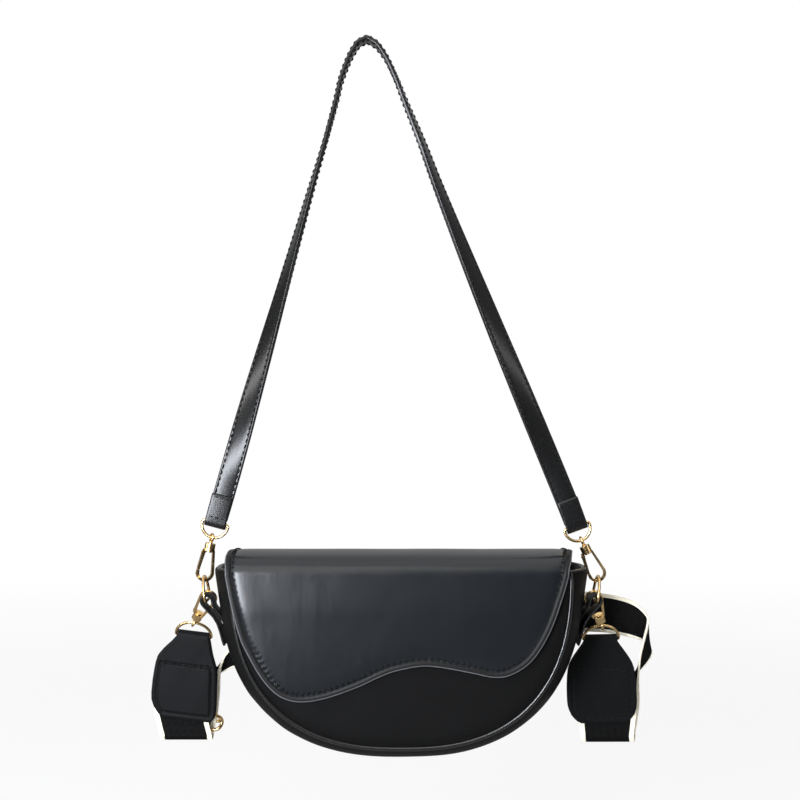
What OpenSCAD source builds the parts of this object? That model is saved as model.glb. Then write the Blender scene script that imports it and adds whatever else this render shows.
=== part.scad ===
// Half-moon saddle handbag with a flap, a narrow shoulder strap and a clip-on webbing strap.
// The origin is the underside of the shoulder strap where it hangs over its peg.
// +X is to the right, +Y is towards the back and +Z is up. All lengths are in millimetres.

/* [Hang] */
// Drop from the peg to the top of the rings on the pouch
hang_drop = 369; // [300:1:480]
// Sideways distance from the peg to the middle of the pouch
bag_x = 23.5; // [0:0.5:40]
// Shift of the pouch behind the plane of the shoulder strap
pouch_y = -0.6; // [-4:0.1:4]

/* [Pouch] */
// Half width of the front and back panels at the mouth
panel_half_w = 111.5; // [95:0.5:130]
// Depth of the panels below the mouth
panel_drop = 116; // [100:0.5:140]
// Distance between the inner faces of the two panels
pouch_depth = 66; // [56:1:84]
// How far the gusset swells out past the panels
gusset_bulge = 11.5; // [6:0.5:16]
// Extra swell of the gusset at the mouth
mouth_flare = 3.5; // [0:0.5:5]
// Thickness of the outer leather
leather_t = 2; // [1.4:0.1:2.6]
// Thickness of the lining cloth
lining_t = 0.8; // [0.5:0.1:1.2]
// Radius of the piping cord along the panel edges
piping_r = 1.7; // [1:0.1:2.4]

/* [Pocket and snap] */
// Width of the slip pocket on the back lining
pocket_w = 112; // [80:1:140]
// Height of the slip pocket
pocket_h = 62; // [40:1:76]
// Radius of the magnetic snap
snap_r = 9; // [7:0.5:11]
// Thickness of the snap socket
socket_t = 1.8; // [1.2:0.1:2.2]
// Radius of the stud in the middle of the snap
stud_r = 2.5; // [1.5:0.1:3.5]
// How much wider the snap's recess is at its mouth
snap_funnel = 2.6; // [2.2:0.1:3.4]

/* [Flap] */
// How far the flap's widest line reaches past the panels
flap_over = 5.5; // [2:0.5:8]
// Drop of the flap's front from its rounded top corner
flap_drop = 83.5; // [70:0.5:95]
// Height of the flap's crest over the mouth
flap_crest = 12.5; // [9:0.5:18]
// Radius of the flap's rounded front corner
flap_corner_r = 13; // [9:0.5:16]
// Thickness of the flap leather
flap_t = 2; // [1.4:0.1:2.6]
// Width of the raised rim along the flap's edge
rim_w = 4; // [3:0.5:6]
// Height of the flap's sewn strip on the back panel
sewn_h = 14; // [10:1:20]

/* [Shoulder strap] */
// Width of the shoulder strap
strap_w = 15; // [12:0.5:18]
// Thickness of the shoulder strap
strap_t = 3; // [2:0.1:4]
// Length of the folded patch that holds each strap ring
strap_fold = 20; // [14:1:28]
// Thickness of the folded leather round the rings
fold_t = 1.6; // [1.2:0.1:2]

/* [Rings] */
// Radius of the ring wire
wire_r = 1; // [0.8:0.05:1.1]
// Half width of the shoulder strap's rings
strap_ring_r = 9; // [8.5:0.1:10.5]
// Half width of the pouch's rings
bag_ring_r = 12.5; // [11.5:0.1:14]
// Half width of the webbing's rings
web_ring_r = 12.6; // [11.5:0.1:14]
// Width of the leather tabs on the gusset
tab_w = 16; // [12:0.5:17]

/* [Hooks] */
// Distance from the strap ring to the inside of a hook's bend
hook_reach = 29.1; // [27:0.1:33]
// Inner radius of a hook's bend
bend_r = 4.4; // [4.2:0.1:5]
// Width of a hook's bar in its own plane
bar_w = 1.9; // [1.5:0.1:2.4]
// Thickness of a hook
hook_t = 2.4; // [2:0.1:2.8]
// Radius of the swivel barrel
barrel_r = 3.6; // [3.4:0.1:4]
// Height of the swivel barrel
barrel_h = 5.2; // [4:0.1:6]
// Radius of the swivel's stem
stem_r = 1.2; // [0.9:0.05:1.3]

/* [Webbing strap] */
// Width of the webbing
web_w = 38; // [34:1:42]
// Thickness of the webbing
web_t = 1.6; // [1.2:0.1:1.8]
// Length of the leather end pads
pad_len = 59; // [50:1:66]
// Widest width of the leather end pads
pad_w = 48; // [44:1:54]
// Length of webbing that hangs below the pads
web_hang = 18; // [14:1:28]
// Inner radius of the webbing's bottom folds
web_fold_r = 4; // [3:0.1:5]

/* [Hidden] */
$fn = 40;

LEATHER = [0.09, 0.09, 0.1];
SHINE = [0.16, 0.16, 0.17];
GOLD = [0.86, 0.68, 0.4];
BLACK_CLOTH = [0.14, 0.14, 0.14];
LEFT = -1;
RIGHT = 1;

// Clearances and overruns
seat = 0.3;
run_gap = 0.05;
cut = 1;

// Pouch outline
outline_power = 2.5;
outline_steps = 40;
bulge_power = 2.4;
half_depth = pouch_depth / 2;
flare_drop = 40;
station_shares = [-1, -0.92, -0.75, -0.45, 0, 0.45, 0.75, 0.92, 1];
panel_out_y = half_depth + leather_t;
lining_out = leather_t + seat;

// Rings
wire_sides = 16;
ring_corner = 4;
bag_ring_straight = ring_corner;
ring_small_corner = 1.5;
ring_lean = 8;
ring_gap = 13;
bag_ring_out = panel_half_w + gusset_bulge + ring_gap;
bag_ring_h = bag_ring_straight + bag_ring_r;
bar_out = bag_ring_out - bag_ring_h * sin(ring_lean);
bar_z = -hang_drop - bag_ring_h * cos(ring_lean);
bar_under_mouth = 23.3;
mouth_z = bar_z + bar_under_mouth;

// Hooks: where each one leans, left and right
upper_seat = 1.8;
lower_seat = 2.2;
upper_len = hook_reach - upper_seat;
lower_len = hook_reach - lower_seat;
upper_lean = [11, 25];
upper_turn = [25, 0];
eye_wire_r = 0.9;
eye_play = 0.1;
eye_r = wire_r + seat * 2 + eye_play + eye_wire_r;
eye_hang = eye_r - eye_wire_r - wire_r - seat;
barrel_top = eye_hang + eye_r + eye_wire_r + seat;
barrel_bottom = barrel_top + barrel_h;
head_r = 2.2;
head_t = 0.8;
bend_z = hook_reach - bend_r;
pin_r = 0.5;
pin_x = barrel_r + seat;
lug_r = 1.4;
lug_t = 1.4;
pin_z = barrel_bottom + lug_r;
nose_h = 1.2;
gate_w = 1.5;
gate_root_share = 0.8;
cheek_gap = 0.15;
bar_top_x = head_r + seat;

// Shoulder strap
leg_lean = [15, 20];
strap_ring_straight = ring_small_corner;
strap_ring_h = strap_ring_straight + strap_ring_r;
leg_steps = 3;
// Each row: share of the drop, share of the left reach, share of the right reach
leg_shares = [[0, 0, 0], [0.008, 0.054, 0.033], [0.016, 0.076, 0.054], [0.041, 0.121, 0.094],
    [0.085, 0.174, 0.142], [0.127, 0.206, 0.18], [0.21, 0.277, 0.259], [0.293, 0.355, 0.331],
    [0.417, 0.469, 0.445], [0.584, 0.621, 0.603], [0.75, 0.773, 0.763],
    [0.916, 0.922, 0.922], [1, 1, 1]];
twist_power = [1.8, 1.15];
twist_end_share = 0.91;
band_back = 0.4;
band_lift = wire_r + seat * 2;

// Webbing strap
lower_back = 12.2;
lower_out = [12.6, 8];
lower_turn = [-10, 8];
web_ring_straight = 1;
web_ring_corner = 1;
web_ring_h = web_ring_straight + web_ring_r;
web_ring_tilt = 38;
pad_lean = [7, 1];
pad_top_w = 2 * (web_ring_r - web_ring_corner - seat);
pad_shoulder = 20;
pad_corner_r = 8;
web_fold_mid = web_fold_r + web_t / 2;
web_lean_share = 0.7;
// Outline behind the bag, below and above. Each row: the run that it is measured from, the
// share of half the webbing's width (of half the panel's in the middle), the share of the drop
cross_under_shares = [[-1, 1, 0.73], [-1, 1.5, 0.67], [0, -0.5, 0.69], [1, -1, 0.51]];
cross_over_shares = [[1, 1.45, 0.88], [1, 1.5, 0.69], [1, 1.92, 0.58], [1, 1.8, 0.41],
    [1, 1.68, 0.32], [1, 1.15, 0.25], [1, 0, 0.2], [0, -0.5, 0.36], [-1, 1.5, 0.54],
    [-1, 1, 0.63], [-1, 0, 0.63], [-1, -1, 0.73]];

// Slider
slider_rail = 3;
slider_half_h = 7.5;
slider_gap = 0.35;
slider_bar = 2.4;
slider_t = 1.5;

// Flap profile
flap_half_w = panel_half_w + flap_over;
arch_r = 120;
arch_y = -10;
flap_gap = 2.7;
flap_front_y = -(panel_out_y + flap_gap + lining_t + flap_t);
flap_hinge_angle = 45;
corner_angle = asin((-flap_front_y - flap_corner_r + arch_y) / (arch_r - flap_corner_r));
corner_y = flap_front_y + flap_corner_r;
arch_z = flap_crest - arch_r;
corner_z = arch_z + (arch_r - flap_corner_r) * cos(corner_angle);
back_y = half_depth + leather_t + flap_t + lining_t;
back_angle = asin((back_y - arch_y) / arch_r);
split_gap = 0.3;
split_y = corner_y - flap_corner_r * sin(flap_hinge_angle);
// Flap seen from above. Each row: depth, share of the half width on the left and on the right
flap_plan_shares = [[flap_front_y - cut, 1, 0.95], [flap_front_y, 1, 0.95],
    [split_y, 1.005, 0.968], [arch_y, 1.01, 1], [-arch_y, 1.005, 1], [back_y + cut, 0.97, 0.96]];
// Flap edge from the left corner to the right corner: share of half width, share of drop
flap_edge_shares = [[-1, 0], [-0.966, 0.227], [-0.924, 0.449], [-0.893, 0.56], [-0.81, 0.774],
    [-0.735, 0.905], [-0.66, 0.975], [-0.56, 1], [-0.416, 0.966], [-0.243, 0.879],
    [-0.13, 0.805], [-0.04, 0.757], [0.104, 0.717], [0.219, 0.724], [0.392, 0.768],
    [0.522, 0.804], [0.623, 0.783], [0.739, 0.672], [0.84, 0.449], [0.915, 0.165], [0.95, 0]];
rim_proud = 0.8;
snap_under = 46;
plate_t = 0.6;

// A smooth curve value between p1 and p2, with p0 and p3 as the neighbours
function smooth(p0, p1, p2, p3, u) = 0.5 * (2 * p1 + (p2 - p0) * u
    + (2 * p0 - 5 * p1 + 4 * p2 - p3) * u * u + (3 * p1 - p0 - 3 * p2 + p3) * u * u * u);
function curve(p, steps) = let(n = len(p)) concat([for (i = [0:n - 2], k = [0:steps - 1])
    smooth(p[max(i - 1, 0)], p[i], p[i + 1], p[min(i + 2, n - 1)], k / steps)], [p[n - 1]]);
function unit(v) = v / norm(v);

// Half-moon outline, from the right rim round the bottom to the left rim
function half_moon(a, b, up) = concat(up > 0 ? [[a, up]] : [],
    [for (i = [0:outline_steps]) let(t = 180 * i / outline_steps, c = cos(t), s = sin(t))
        [a * sign(c) * pow(abs(c), 2 / outline_power), -b * pow(abs(s), 2 / outline_power)]],
    up > 0 ? [[-a, up]] : []);
function bulge_at(y, inset) = let(s = min(1, abs(y) / half_depth))
    gusset_bulge * (1 - pow(s, bulge_power)) - inset;
function flare_at(y, z) = let(s = min(1, abs(y) / half_depth), d = max(0, 1 + z / flare_drop))
    mouth_flare * (1 - pow(s, bulge_power)) * d * d;
// One ring of the pouch form at depth y
function form_ring(y, inset, up) = [for (p = half_moon(panel_half_w + bulge_at(y, inset),
    panel_drop + bulge_at(y, inset), up))
    [p[0] + sign(p[0]) * flare_at(y, min(0, p[1])), y, p[1]]];
// Where the gusset's crown is at a depth below the mouth
function crown(d) = (panel_half_w + gusset_bulge)
    * pow(1 - pow(d / (panel_drop + gusset_bulge), outline_power), 1 / outline_power)
    + flare_at(0, -d);

// A closed skin over rings of points
module skin(rings) {
    n = len(rings[0]);
    m = len(rings);
    faces = concat([[for (k = [0:n - 1]) k]],
        [for (i = [0:m - 2], k = [0:n - 1]) [i * n + k, (i + 1) * n + k, i * n + (k + 1) % n]],
        [for (i = [0:m - 2], k = [0:n - 1])
            [i * n + (k + 1) % n, (i + 1) * n + k, (i + 1) * n + (k + 1) % n]],
        [[for (k = [0:n - 1]) m * n - 1 - k]]);
    polyhedron(points = [for (r = rings, p = r) p], faces = faces);
}

module in_bag() translate([bag_x, pouch_y, mouth_z]) children();
module upright(y, t) translate([0, y + t, 0]) rotate([90, 0, 0]) linear_extrude(t) children();
module along_x(x0, w) translate([x0, 0, 0]) rotate([90, 0, 90]) linear_extrude(w) children();

// Pouch
module pouch_form(inset, reach, up) {
    inner = [for (s = station_shares) s * (half_depth - (up > 0 ? 0 : reach))];
    ys = up > 0 ? concat([-half_depth - reach], inner, [half_depth + reach]) : inner;
    skin([for (y = ys) form_ring(y, inset, up)]);
}
module panel_outline() polygon(half_moon(panel_half_w, panel_drop, 0));

module front_panel() color(LEATHER) in_bag() difference() {
    upright(-panel_out_y, leather_t) panel_outline();
    translate([0, -half_depth - plate_t - seat, -snap_under]) rotate([-90, 0, 0])
        cylinder(r = snap_r + seat, h = cut + plate_t + seat);
}
module back_panel() color(LEATHER) in_bag() upright(half_depth, leather_t) panel_outline();
module gusset() color(SHINE) in_bag() difference() {
    pouch_form(0, 0, 0);
    pouch_form(leather_t, cut, cut);
}
module piping(y) color(LEATHER) in_bag() {
    off = piping_r + seat / 3;
    line = half_moon(panel_half_w + off, panel_drop + off, 0);
    skin([for (i = [0:outline_steps]) let(
        d = unit(line[min(i + 1, outline_steps)] - line[max(i - 1, 0)]))
        [for (a = [0:60:300]) [line[i][0] - d[1] * piping_r * cos(a), y + piping_r * sin(a),
            line[i][1] + d[0] * piping_r * cos(a)]]]);
}
module lining() color("dimgray") in_bag() difference() {
    pouch_form(lining_out, seat, 0);
    lining_hollow();
}
module lining_hollow() {
    inset = lining_out + lining_t;
    y_share = (half_depth - seat - lining_t) / half_depth;
    skin([for (s = station_shares) [for (p = half_moon(
        panel_half_w + bulge_at(s * half_depth, inset),
        panel_drop + bulge_at(s * half_depth, inset), cut))
        [p[0] + sign(p[0]) * flare_at(s * half_depth, min(0, p[1])), s * half_depth * y_share,
            p[1]]]]);
}
module pocket_outline(inset) translate([0, -pocket_h - pocket_drop()]) hull() {
    for (s = [LEFT, RIGHT]) {
        translate([s * (pocket_w / 2 - pocket_corner()), pocket_corner()])
            circle(r = pocket_corner() - inset);
        translate([s * (pocket_w / 2 - pocket_corner()), pocket_h - pocket_corner()])
            square((pocket_corner() - inset) * 2, center = true);
    }
}
function pocket_corner() = pocket_w / 8;
function pocket_drop() = panel_drop / 9;
module slip_pocket() color("dimgray") in_bag() {
    y = half_depth - seat - lining_t - seat;
    difference() {
        upright(y - plate_t * 3, plate_t * 3) pocket_outline(0);
        upright(y - plate_t * 2, plate_t) hull() {
            pocket_outline(plate_t);
            translate([0, cut]) pocket_outline(plate_t);
        }
    }
}
module snap_socket() color(GOLD) in_bag()
    translate([0, -panel_out_y, -snap_under]) rotate([90, 0, 0]) difference() {
        cylinder(r = snap_r, h = socket_t);
        translate([0, 0, seat])
            cylinder(r1 = stud_r + seat, r2 = stud_r + snap_funnel, h = socket_t);
    }
module snap_washer() color(GOLD) in_bag()
    translate([0, -half_depth, -snap_under]) rotate([90, 0, 0]) cylinder(r = snap_r, h = plate_t);

// Rings: a straight bar along X at the origin and an arc above it
module d_ring(r, straight, corner) {
    translate([0, 0, straight]) rotate([90, 0, 0]) rotate_extrude(angle = 180)
        translate([r, 0]) circle(r = wire_r, $fn = wire_sides);
    for (s = [LEFT, RIGHT]) mirror([s < 0 ? 1 : 0, 0, 0]) {
        if (straight > corner) translate([r, 0, corner])
            cylinder(r = wire_r, h = straight - corner, $fn = wire_sides);
        translate([r - corner, 0, corner]) rotate([90, 0, 0]) rotate([0, 0, -90])
            rotate_extrude(angle = 90) translate([corner, 0]) circle(r = wire_r, $fn = wire_sides);
    }
    translate([-(r - corner), 0, 0]) rotate([0, 90, 0])
        cylinder(r = wire_r, h = 2 * (r - corner), $fn = wire_sides);
}

function bag_bar(side) = [bag_x + side * bar_out, 0, bar_z];
module bag_ring(side) color(GOLD) translate(bag_bar(side)) rotate([0, side * ring_lean, 0])
    rotate([0, 0, 90]) d_ring(bag_ring_r, bag_ring_straight, ring_corner);

// Gusset tab: a loop round the ring's bar, then a folded strip down to the gusset
tab_half_t = wire_r + seat + fold_t;
tab_strip_share = 1.2;
tab_end_share = 2.3;
tab_mid_share = 1.85;
tab_strip_r = fold_t * tab_strip_share;
tab_end_d = bar_under_mouth * tab_end_share;
tab_mid_d = bar_under_mouth * tab_mid_share;
module side_tab(side) color(LEATHER) in_bag() translate([0, -pouch_y + tab_w / 2, 0])
    mirror([side < 0 ? 1 : 0, 0, 0]) rotate([90, 0, 0]) linear_extrude(tab_w) difference() {
        union() {
            hull() {
                translate([bar_out, -bar_under_mouth]) circle(r = tab_half_t);
                translate([crown(tab_mid_d) + tab_strip_r + seat, -tab_mid_d])
                    circle(r = tab_strip_r);
            }
            hull() {
                translate([crown(tab_mid_d) + tab_strip_r + seat, -tab_mid_d])
                    circle(r = tab_strip_r);
                translate([crown(tab_end_d) + tab_strip_r + seat, -tab_end_d])
                    circle(r = tab_strip_r);
            }
        }
        translate([bar_out, -bar_under_mouth]) circle(r = wire_r + seat);
    }

// Flap: its profile is an arch over the mouth and a rounded front corner
function arch_point(a, r) = [arch_y + r * sin(a), arch_z + r * cos(a)];
function corner_point(a, r) = [corner_y - r * sin(a), corner_z + r * cos(a)];
module arch_band(inset, t) {
    r = arch_r - inset;
    polygon(concat([for (i = [0:12]) arch_point(back_angle - split_angle()
        - (back_angle - split_angle() + corner_angle) * i / 12, r)],
        [for (i = [0:6]) corner_point(corner_angle
            + (flap_hinge_angle - corner_angle) * i / 6, flap_corner_r - inset)],
        [for (i = [6:-1:0]) corner_point(corner_angle
            + (flap_hinge_angle - corner_angle) * i / 6, flap_corner_r - inset - t)],
        [for (i = [12:-1:0]) arch_point(back_angle - split_angle()
            - (back_angle - split_angle() + corner_angle) * i / 12, r - t)]));
}
function split_angle() = asin(split_gap / arch_r);
// Height just under the arch's lining at depth y
function under_arch(y) = let(r = arch_r - flap_t - lining_t)
    arch_z + sqrt(r * r - (y - arch_y) * (y - arch_y)) - split_gap;
module corner_band(inset, t) {
    r = flap_corner_r - inset;
    gap_a = asin(split_gap / flap_corner_r);
    a0 = flap_hinge_angle + gap_a;
    polygon(concat([for (i = [0:6]) corner_point(a0 + (90 - a0) * i / 6, r)],
        [for (i = [6:-1:0]) corner_point(a0 + (90 - a0) * i / 6, r - t)]));
}
module flap_edge() polygon([for (p = curve(flap_edge_shares, 2))
    [p[0] * flap_half_w, corner_z - p[1] * flap_drop]]);
module flap_plan(inset) translate([0, 0, -flap_drop]) linear_extrude(2 * flap_drop)
    polygon(concat([for (p = flap_plan_shares) [inset - p[1] * flap_half_w, p[0]]],
        [for (p = backwards(flap_plan_shares)) [p[2] * flap_half_w - inset, p[0]]]));
module flap_bend(inset) intersection() {
    along_x(-2 * flap_half_w, 4 * flap_half_w) children();
    flap_plan(inset);
}
module flap_back() color(LEATHER) in_bag() along_x(seat - panel_half_w,
    2 * (panel_half_w - seat)) {
    polygon([[panel_out_y, -sewn_h], [back_y, -sewn_h], [back_y, under_arch(back_y)],
        [panel_out_y, under_arch(panel_out_y)]]);
}
module flap_top() color(SHINE) in_bag() flap_bend(0) arch_band(0, flap_t);
module flap_top_lining() color("dimgray") in_bag() flap_bend(rim_w) arch_band(flap_t, lining_t);
last_edge = flap_edge_shares[len(flap_edge_shares) - 1];
flap_corner_w = flap_half_w * (last_edge[0] - flap_edge_shares[0][0]);
module flap_front() color(LEATHER) in_bag() {
    flap_bend(0) corner_band(0, flap_t);
    upright(flap_front_y, flap_t) flap_edge();
}
module flap_front_lining() color("dimgray") in_bag() {
    flap_bend(rim_w) corner_band(flap_t, lining_t);
    upright(flap_front_y + flap_t, lining_t) intersection() {
        offset(delta = -rim_w / 2) union() {
            flap_edge();
            translate([-flap_half_w, corner_z - cut])
                square([flap_corner_w, cut + rim_w / 2 + run_gap]);
        }
        translate([-flap_half_w + rim_w, corner_z - 2 * flap_drop])
            square([flap_corner_w - 2 * rim_w, 2 * flap_drop + run_gap]);
    }
}
module flap_rim() color(SHINE) in_bag() upright(flap_front_y - rim_proud, rim_proud)
    difference() {
        flap_edge();
        offset(delta = -rim_w) flap_edge();
        translate([-flap_half_w + rim_w, corner_z - 2 * rim_w])
            square([flap_corner_w - 2 * rim_w, 2 * rim_w]);
    }
module snap_stud() color(GOLD) in_bag() translate([0, flap_front_y + flap_t + lining_t,
    -snap_under]) rotate([-90, 0, 0]) {
        cylinder(r = snap_r, h = plate_t);
        cylinder(r = stud_r, h = flap_gap - seat * 2);
    }

// Shoulder strap
function side_i(side) = side < 0 ? 0 : 1;
function upper_top(side) = let(a = upper_lean[side_i(side)])
    [bag_x + side * (bag_ring_out - upper_len * sin(a)), 0, -hang_drop + upper_len * cos(a)];
function strap_bar(side) = let(a = leg_lean[side_i(side)])
    upper_top(side) + [-side * strap_ring_h * sin(a), 0, strap_ring_h * cos(a)];
function leg_end(side) = let(a = leg_lean[side_i(side)])
    strap_bar(side) + [-side * band_lift * sin(a), 0, band_lift * cos(a)];
function leg_line(side) = let(e = leg_end(side)) [for (p = curve(leg_shares, leg_steps))
    [e[0] * p[1 + side_i(side)], strap_t / 2 + (e[2] - strap_t / 2) * p[0]]];
function leg_twist(side) = [for (p = curve(leg_shares, leg_steps))
    90 * pow(min(1, p[0] / twist_end_share), twist_power[side_i(side)])];
function backwards(v) = [for (i = [len(v) - 1:-1:0]) v[i]];
module shoulder_strap() color(LEATHER) {
    left = backwards(leg_line(LEFT));
    right = leg_line(RIGHT);
    line = concat(left, [for (i = [1:len(right) - 1]) right[i]]);
    right_twist = leg_twist(RIGHT);
    twist = concat(backwards(leg_twist(LEFT)),
        [for (i = [1:len(right_twist) - 1]) right_twist[i]]);
    last = len(line) - 1;
    skin([for (i = [0:last]) let(
        t = unit(line[min(i + 1, last)] - line[max(i - 1, 0)]),
        out = [-t[1], 0, t[0]],
        n = out * cos(twist[i]) - [0, 1, 0] * sin(twist[i]),
        w = [0, 1, 0] * cos(twist[i]) + out * sin(twist[i]),
        c = [line[i][0], band_back * sin(twist[i]), line[i][1]])
        [for (q = [[-1, -1], [-1, 1], [1, 1], [1, -1]])
            c + w * q[0] * strap_w / 2 + n * q[1] * strap_t / 2]]);
}
module strap_end(side) color(LEATHER) translate(strap_bar(side))
    rotate([0, -side * leg_lean[side_i(side)], 0]) {
        inner = wire_r + seat / 3 * 2;
        along_x(-strap_w / 2, strap_w) union() {
            difference() {
                circle(r = inner + fold_t);
                circle(r = inner);
                translate([-strap_w / 2, 0]) square([strap_w, strap_w]);
            }
            translate([-inner - fold_t, 0]) square([fold_t, strap_fold]);
            translate([inner, 0]) square([fold_t, band_lift - seat]);
        }
    }
module strap_ring(side) color(GOLD) translate(strap_bar(side))
    rotate([0, 180 - side * leg_lean[side_i(side)], 0])
    d_ring(strap_ring_r, strap_ring_straight, ring_small_corner);

// Snap hooks: the ring wire that the eye holds is at the origin, the hook hangs down from it
module hook_eye() color(GOLD) {
    translate([0, 0, -eye_hang]) rotate([0, 90, 0]) rotate_extrude()
        translate([eye_r, 0]) circle(r = eye_wire_r, $fn = wire_sides);
    translate([0, 0, -barrel_bottom - seat - head_t])
        cylinder(r = stem_r, h = barrel_bottom + seat + head_t - eye_hang - eye_r);
    translate([0, 0, -barrel_bottom - seat / 2 - head_t]) cylinder(r = head_r, h = head_t);
}
module hook_plate(t) translate([0, t / 2, 0]) rotate([90, 0, 0]) linear_extrude(t) children();
module hook_body() color(GOLD) difference() {
    union() {
        translate([0, 0, -barrel_bottom]) cylinder(r = barrel_r, h = barrel_h);
        hook_plate(hook_t) {
            intersection() {
                translate([0, -bend_z]) circle(r = bend_r + bar_w);
                translate([-hook_reach, -bend_z - hook_reach]) square([2 * hook_reach,
                    hook_reach]);
            }
            translate([-bend_r - bar_w, -bend_z - bar_w]) square([bar_w, nose_h + bar_w]);
            polygon([[bar_top_x, -barrel_bottom + bar_w / 2], [barrel_r, -barrel_bottom
                + bar_w / 2], [barrel_r + seat, -barrel_bottom], [bend_r + bar_w, -bend_z],
                [bend_r, -bend_z], [bar_top_x, -barrel_bottom - head_t]]);
        }
        hook_plate(lug_t) {
            translate([-pin_x, -pin_z]) circle(r = lug_r);
            translate([-pin_x - lug_r / 2, -pin_z]) square([lug_r * 3 / 2, lug_r + bar_w / 2]);
        }
    }
    translate([0, 0, -barrel_bottom - cut]) cylinder(r = stem_r + run_gap, h = barrel_h + 2 * cut);
    hook_plate(hook_t + cut) {
        translate([0, -bend_z]) circle(r = bend_r);
        translate([-pin_x, -pin_z]) circle(r = pin_r + run_gap / 2);
    }
    translate([0, 0, -barrel_bottom - head_t - seat - cut])
        cylinder(r = head_r + seat / 2, h = head_t + seat + cut);
}
module hook_pin() color(GOLD) translate([-pin_x, 0, -pin_z]) rotate([90, 0, 0])
    cylinder(r = pin_r, h = hook_t + 2 * cheek_gap, center = true);
module hook_gate() color(GOLD) difference() {
    hook_plate(hook_t) hull() {
        translate([-pin_x, -pin_z]) circle(r = lug_r * gate_root_share);
        translate([-bend_r - bar_w / 2 - gate_w / 2, -bend_z + nose_h + seat])
            square([gate_w, gate_w]);
    }
    hook_plate(lug_t + 2 * cheek_gap) translate([-pin_x, -pin_z])
        circle(r = lug_r + cheek_gap * 2);
    hook_plate(hook_t + cut) translate([-pin_x, -pin_z]) circle(r = pin_r + run_gap);
}
module at_upper(side) translate(upper_top(side))
    rotate([0, -side * upper_lean[side_i(side)], 0])
    rotate([0, 0, upper_turn[side_i(side)]]) children();

// Lower hooks: they hold the back corners of the pouch's rings
function ring_corner_at(side) = let(u = bag_ring_r - ring_corner * (1 - sin(45)),
    v = ring_corner * (1 - cos(45)))
    bag_bar(side) + [side * v * sin(ring_lean), u, v * cos(ring_lean)];
function lower_drop(side) = sqrt(lower_len * lower_len - lower_back * lower_back
    - lower_out[side_i(side)] * lower_out[side_i(side)]);
function lower_foot(side) = ring_corner_at(side)
    + [side * lower_out[side_i(side)], lower_back, -lower_drop(side)];
module at_lower(side) {
    a = 180 + asin(lower_back / lower_len);
    b = asin(-side * lower_out[side_i(side)] / (lower_len * cos(asin(lower_back / lower_len))));
    translate(lower_foot(side)) rotate([a, b, 0]) rotate([0, 0, lower_turn[side_i(side)]])
        children();
}

// Webbing strap
function web_bar(side) = let(a = pad_lean[side_i(side)], fall = web_ring_h * cos(web_ring_tilt))
    lower_foot(side) + [side * fall * sin(a), web_ring_h * sin(web_ring_tilt), -fall * cos(a)];
module webbing_ring(side) color(GOLD) translate(web_bar(side))
    rotate([0, side * -pad_lean[side_i(side)], 0]) rotate([web_ring_tilt, 0, 0])
    d_ring(web_ring_r, web_ring_straight, web_ring_corner);
module pad_outline(top) hull() {
    translate([-pad_top_w / 2, -top]) square([pad_top_w, top]);
    for (s = [LEFT, RIGHT]) {
        translate([s * (pad_w / 2 - pad_corner_r), -pad_len + pad_corner_r])
            circle(r = pad_corner_r);
        translate([s * (pad_w / 2 - pad_corner_r / 2), -pad_shoulder])
            circle(r = pad_corner_r / 2);
    }
}
pad_loop_in = wire_r + seat / 3 * 2;
module webbing_pad(side) color(LEATHER) translate(web_bar(side))
    rotate([0, side * -pad_lean[side_i(side)], 0]) {
        for (y = [-pad_loop_in - fold_t, pad_loop_in]) upright(y, fold_t) pad_outline(fold_t);
        along_x(-pad_top_w / 2, pad_top_w) difference() {
            circle(r = pad_loop_in + fold_t);
            circle(r = pad_loop_in);
            translate([-pad_w / 2, -pad_w]) square([pad_w, pad_w]);
        }
    }
function web_x(side) = web_bar(side)[0] - bag_x
    + side * (pad_len + web_hang / 2) * sin(pad_lean[side_i(side)]) * web_lean_share;
function web_y() = web_bar(LEFT)[1];
function web_back_y() = web_y() + 2 * web_fold_mid;
web_bottom = web_bar(LEFT)[2] - mouth_z - pad_len - web_hang + web_fold_mid;
module web_band(xa, za, xb, zb) polygon([[xa - web_w / 2, za], [xa + web_w / 2, za],
    [xb + web_w / 2, zb], [xb - web_w / 2, zb]]);
function cross_line(rows) = [for (p = rows) [p[0] == 0 ? p[1] * panel_half_w
    : web_x(p[0]) + p[1] * web_w / 2, -p[2] * panel_drop]];
module webbing() color(BLACK_CLOTH) translate([bag_x, 0, mouth_z]) {
    h = web_w / 2;
    for (side = [LEFT, RIGHT]) {
        top = web_bar(side)[2] - mouth_z - pad_shoulder;
        upright(web_y() - web_t / 2, web_t)
            web_band(web_bar(side)[0] - bag_x, top, web_x(side), web_bottom);
        translate([0, web_y() + web_fold_mid, web_bottom]) along_x(web_x(side) - h, web_w)
            difference() {
                circle(r = web_fold_mid + web_t / 2);
                circle(r = web_fold_mid - web_t / 2);
                translate([-h, 0]) square([2 * h, h]);
            }
    }
    upright(web_back_y() - web_t / 2, web_t) polygon(concat(
        [[web_x(LEFT) - h, web_bottom], [web_x(LEFT) + h, web_bottom]],
        cross_line(cross_under_shares),
        [[web_x(RIGHT) - h, web_bottom], [web_x(RIGHT) + h, web_bottom]],
        cross_line(cross_over_shares)));
}
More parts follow.
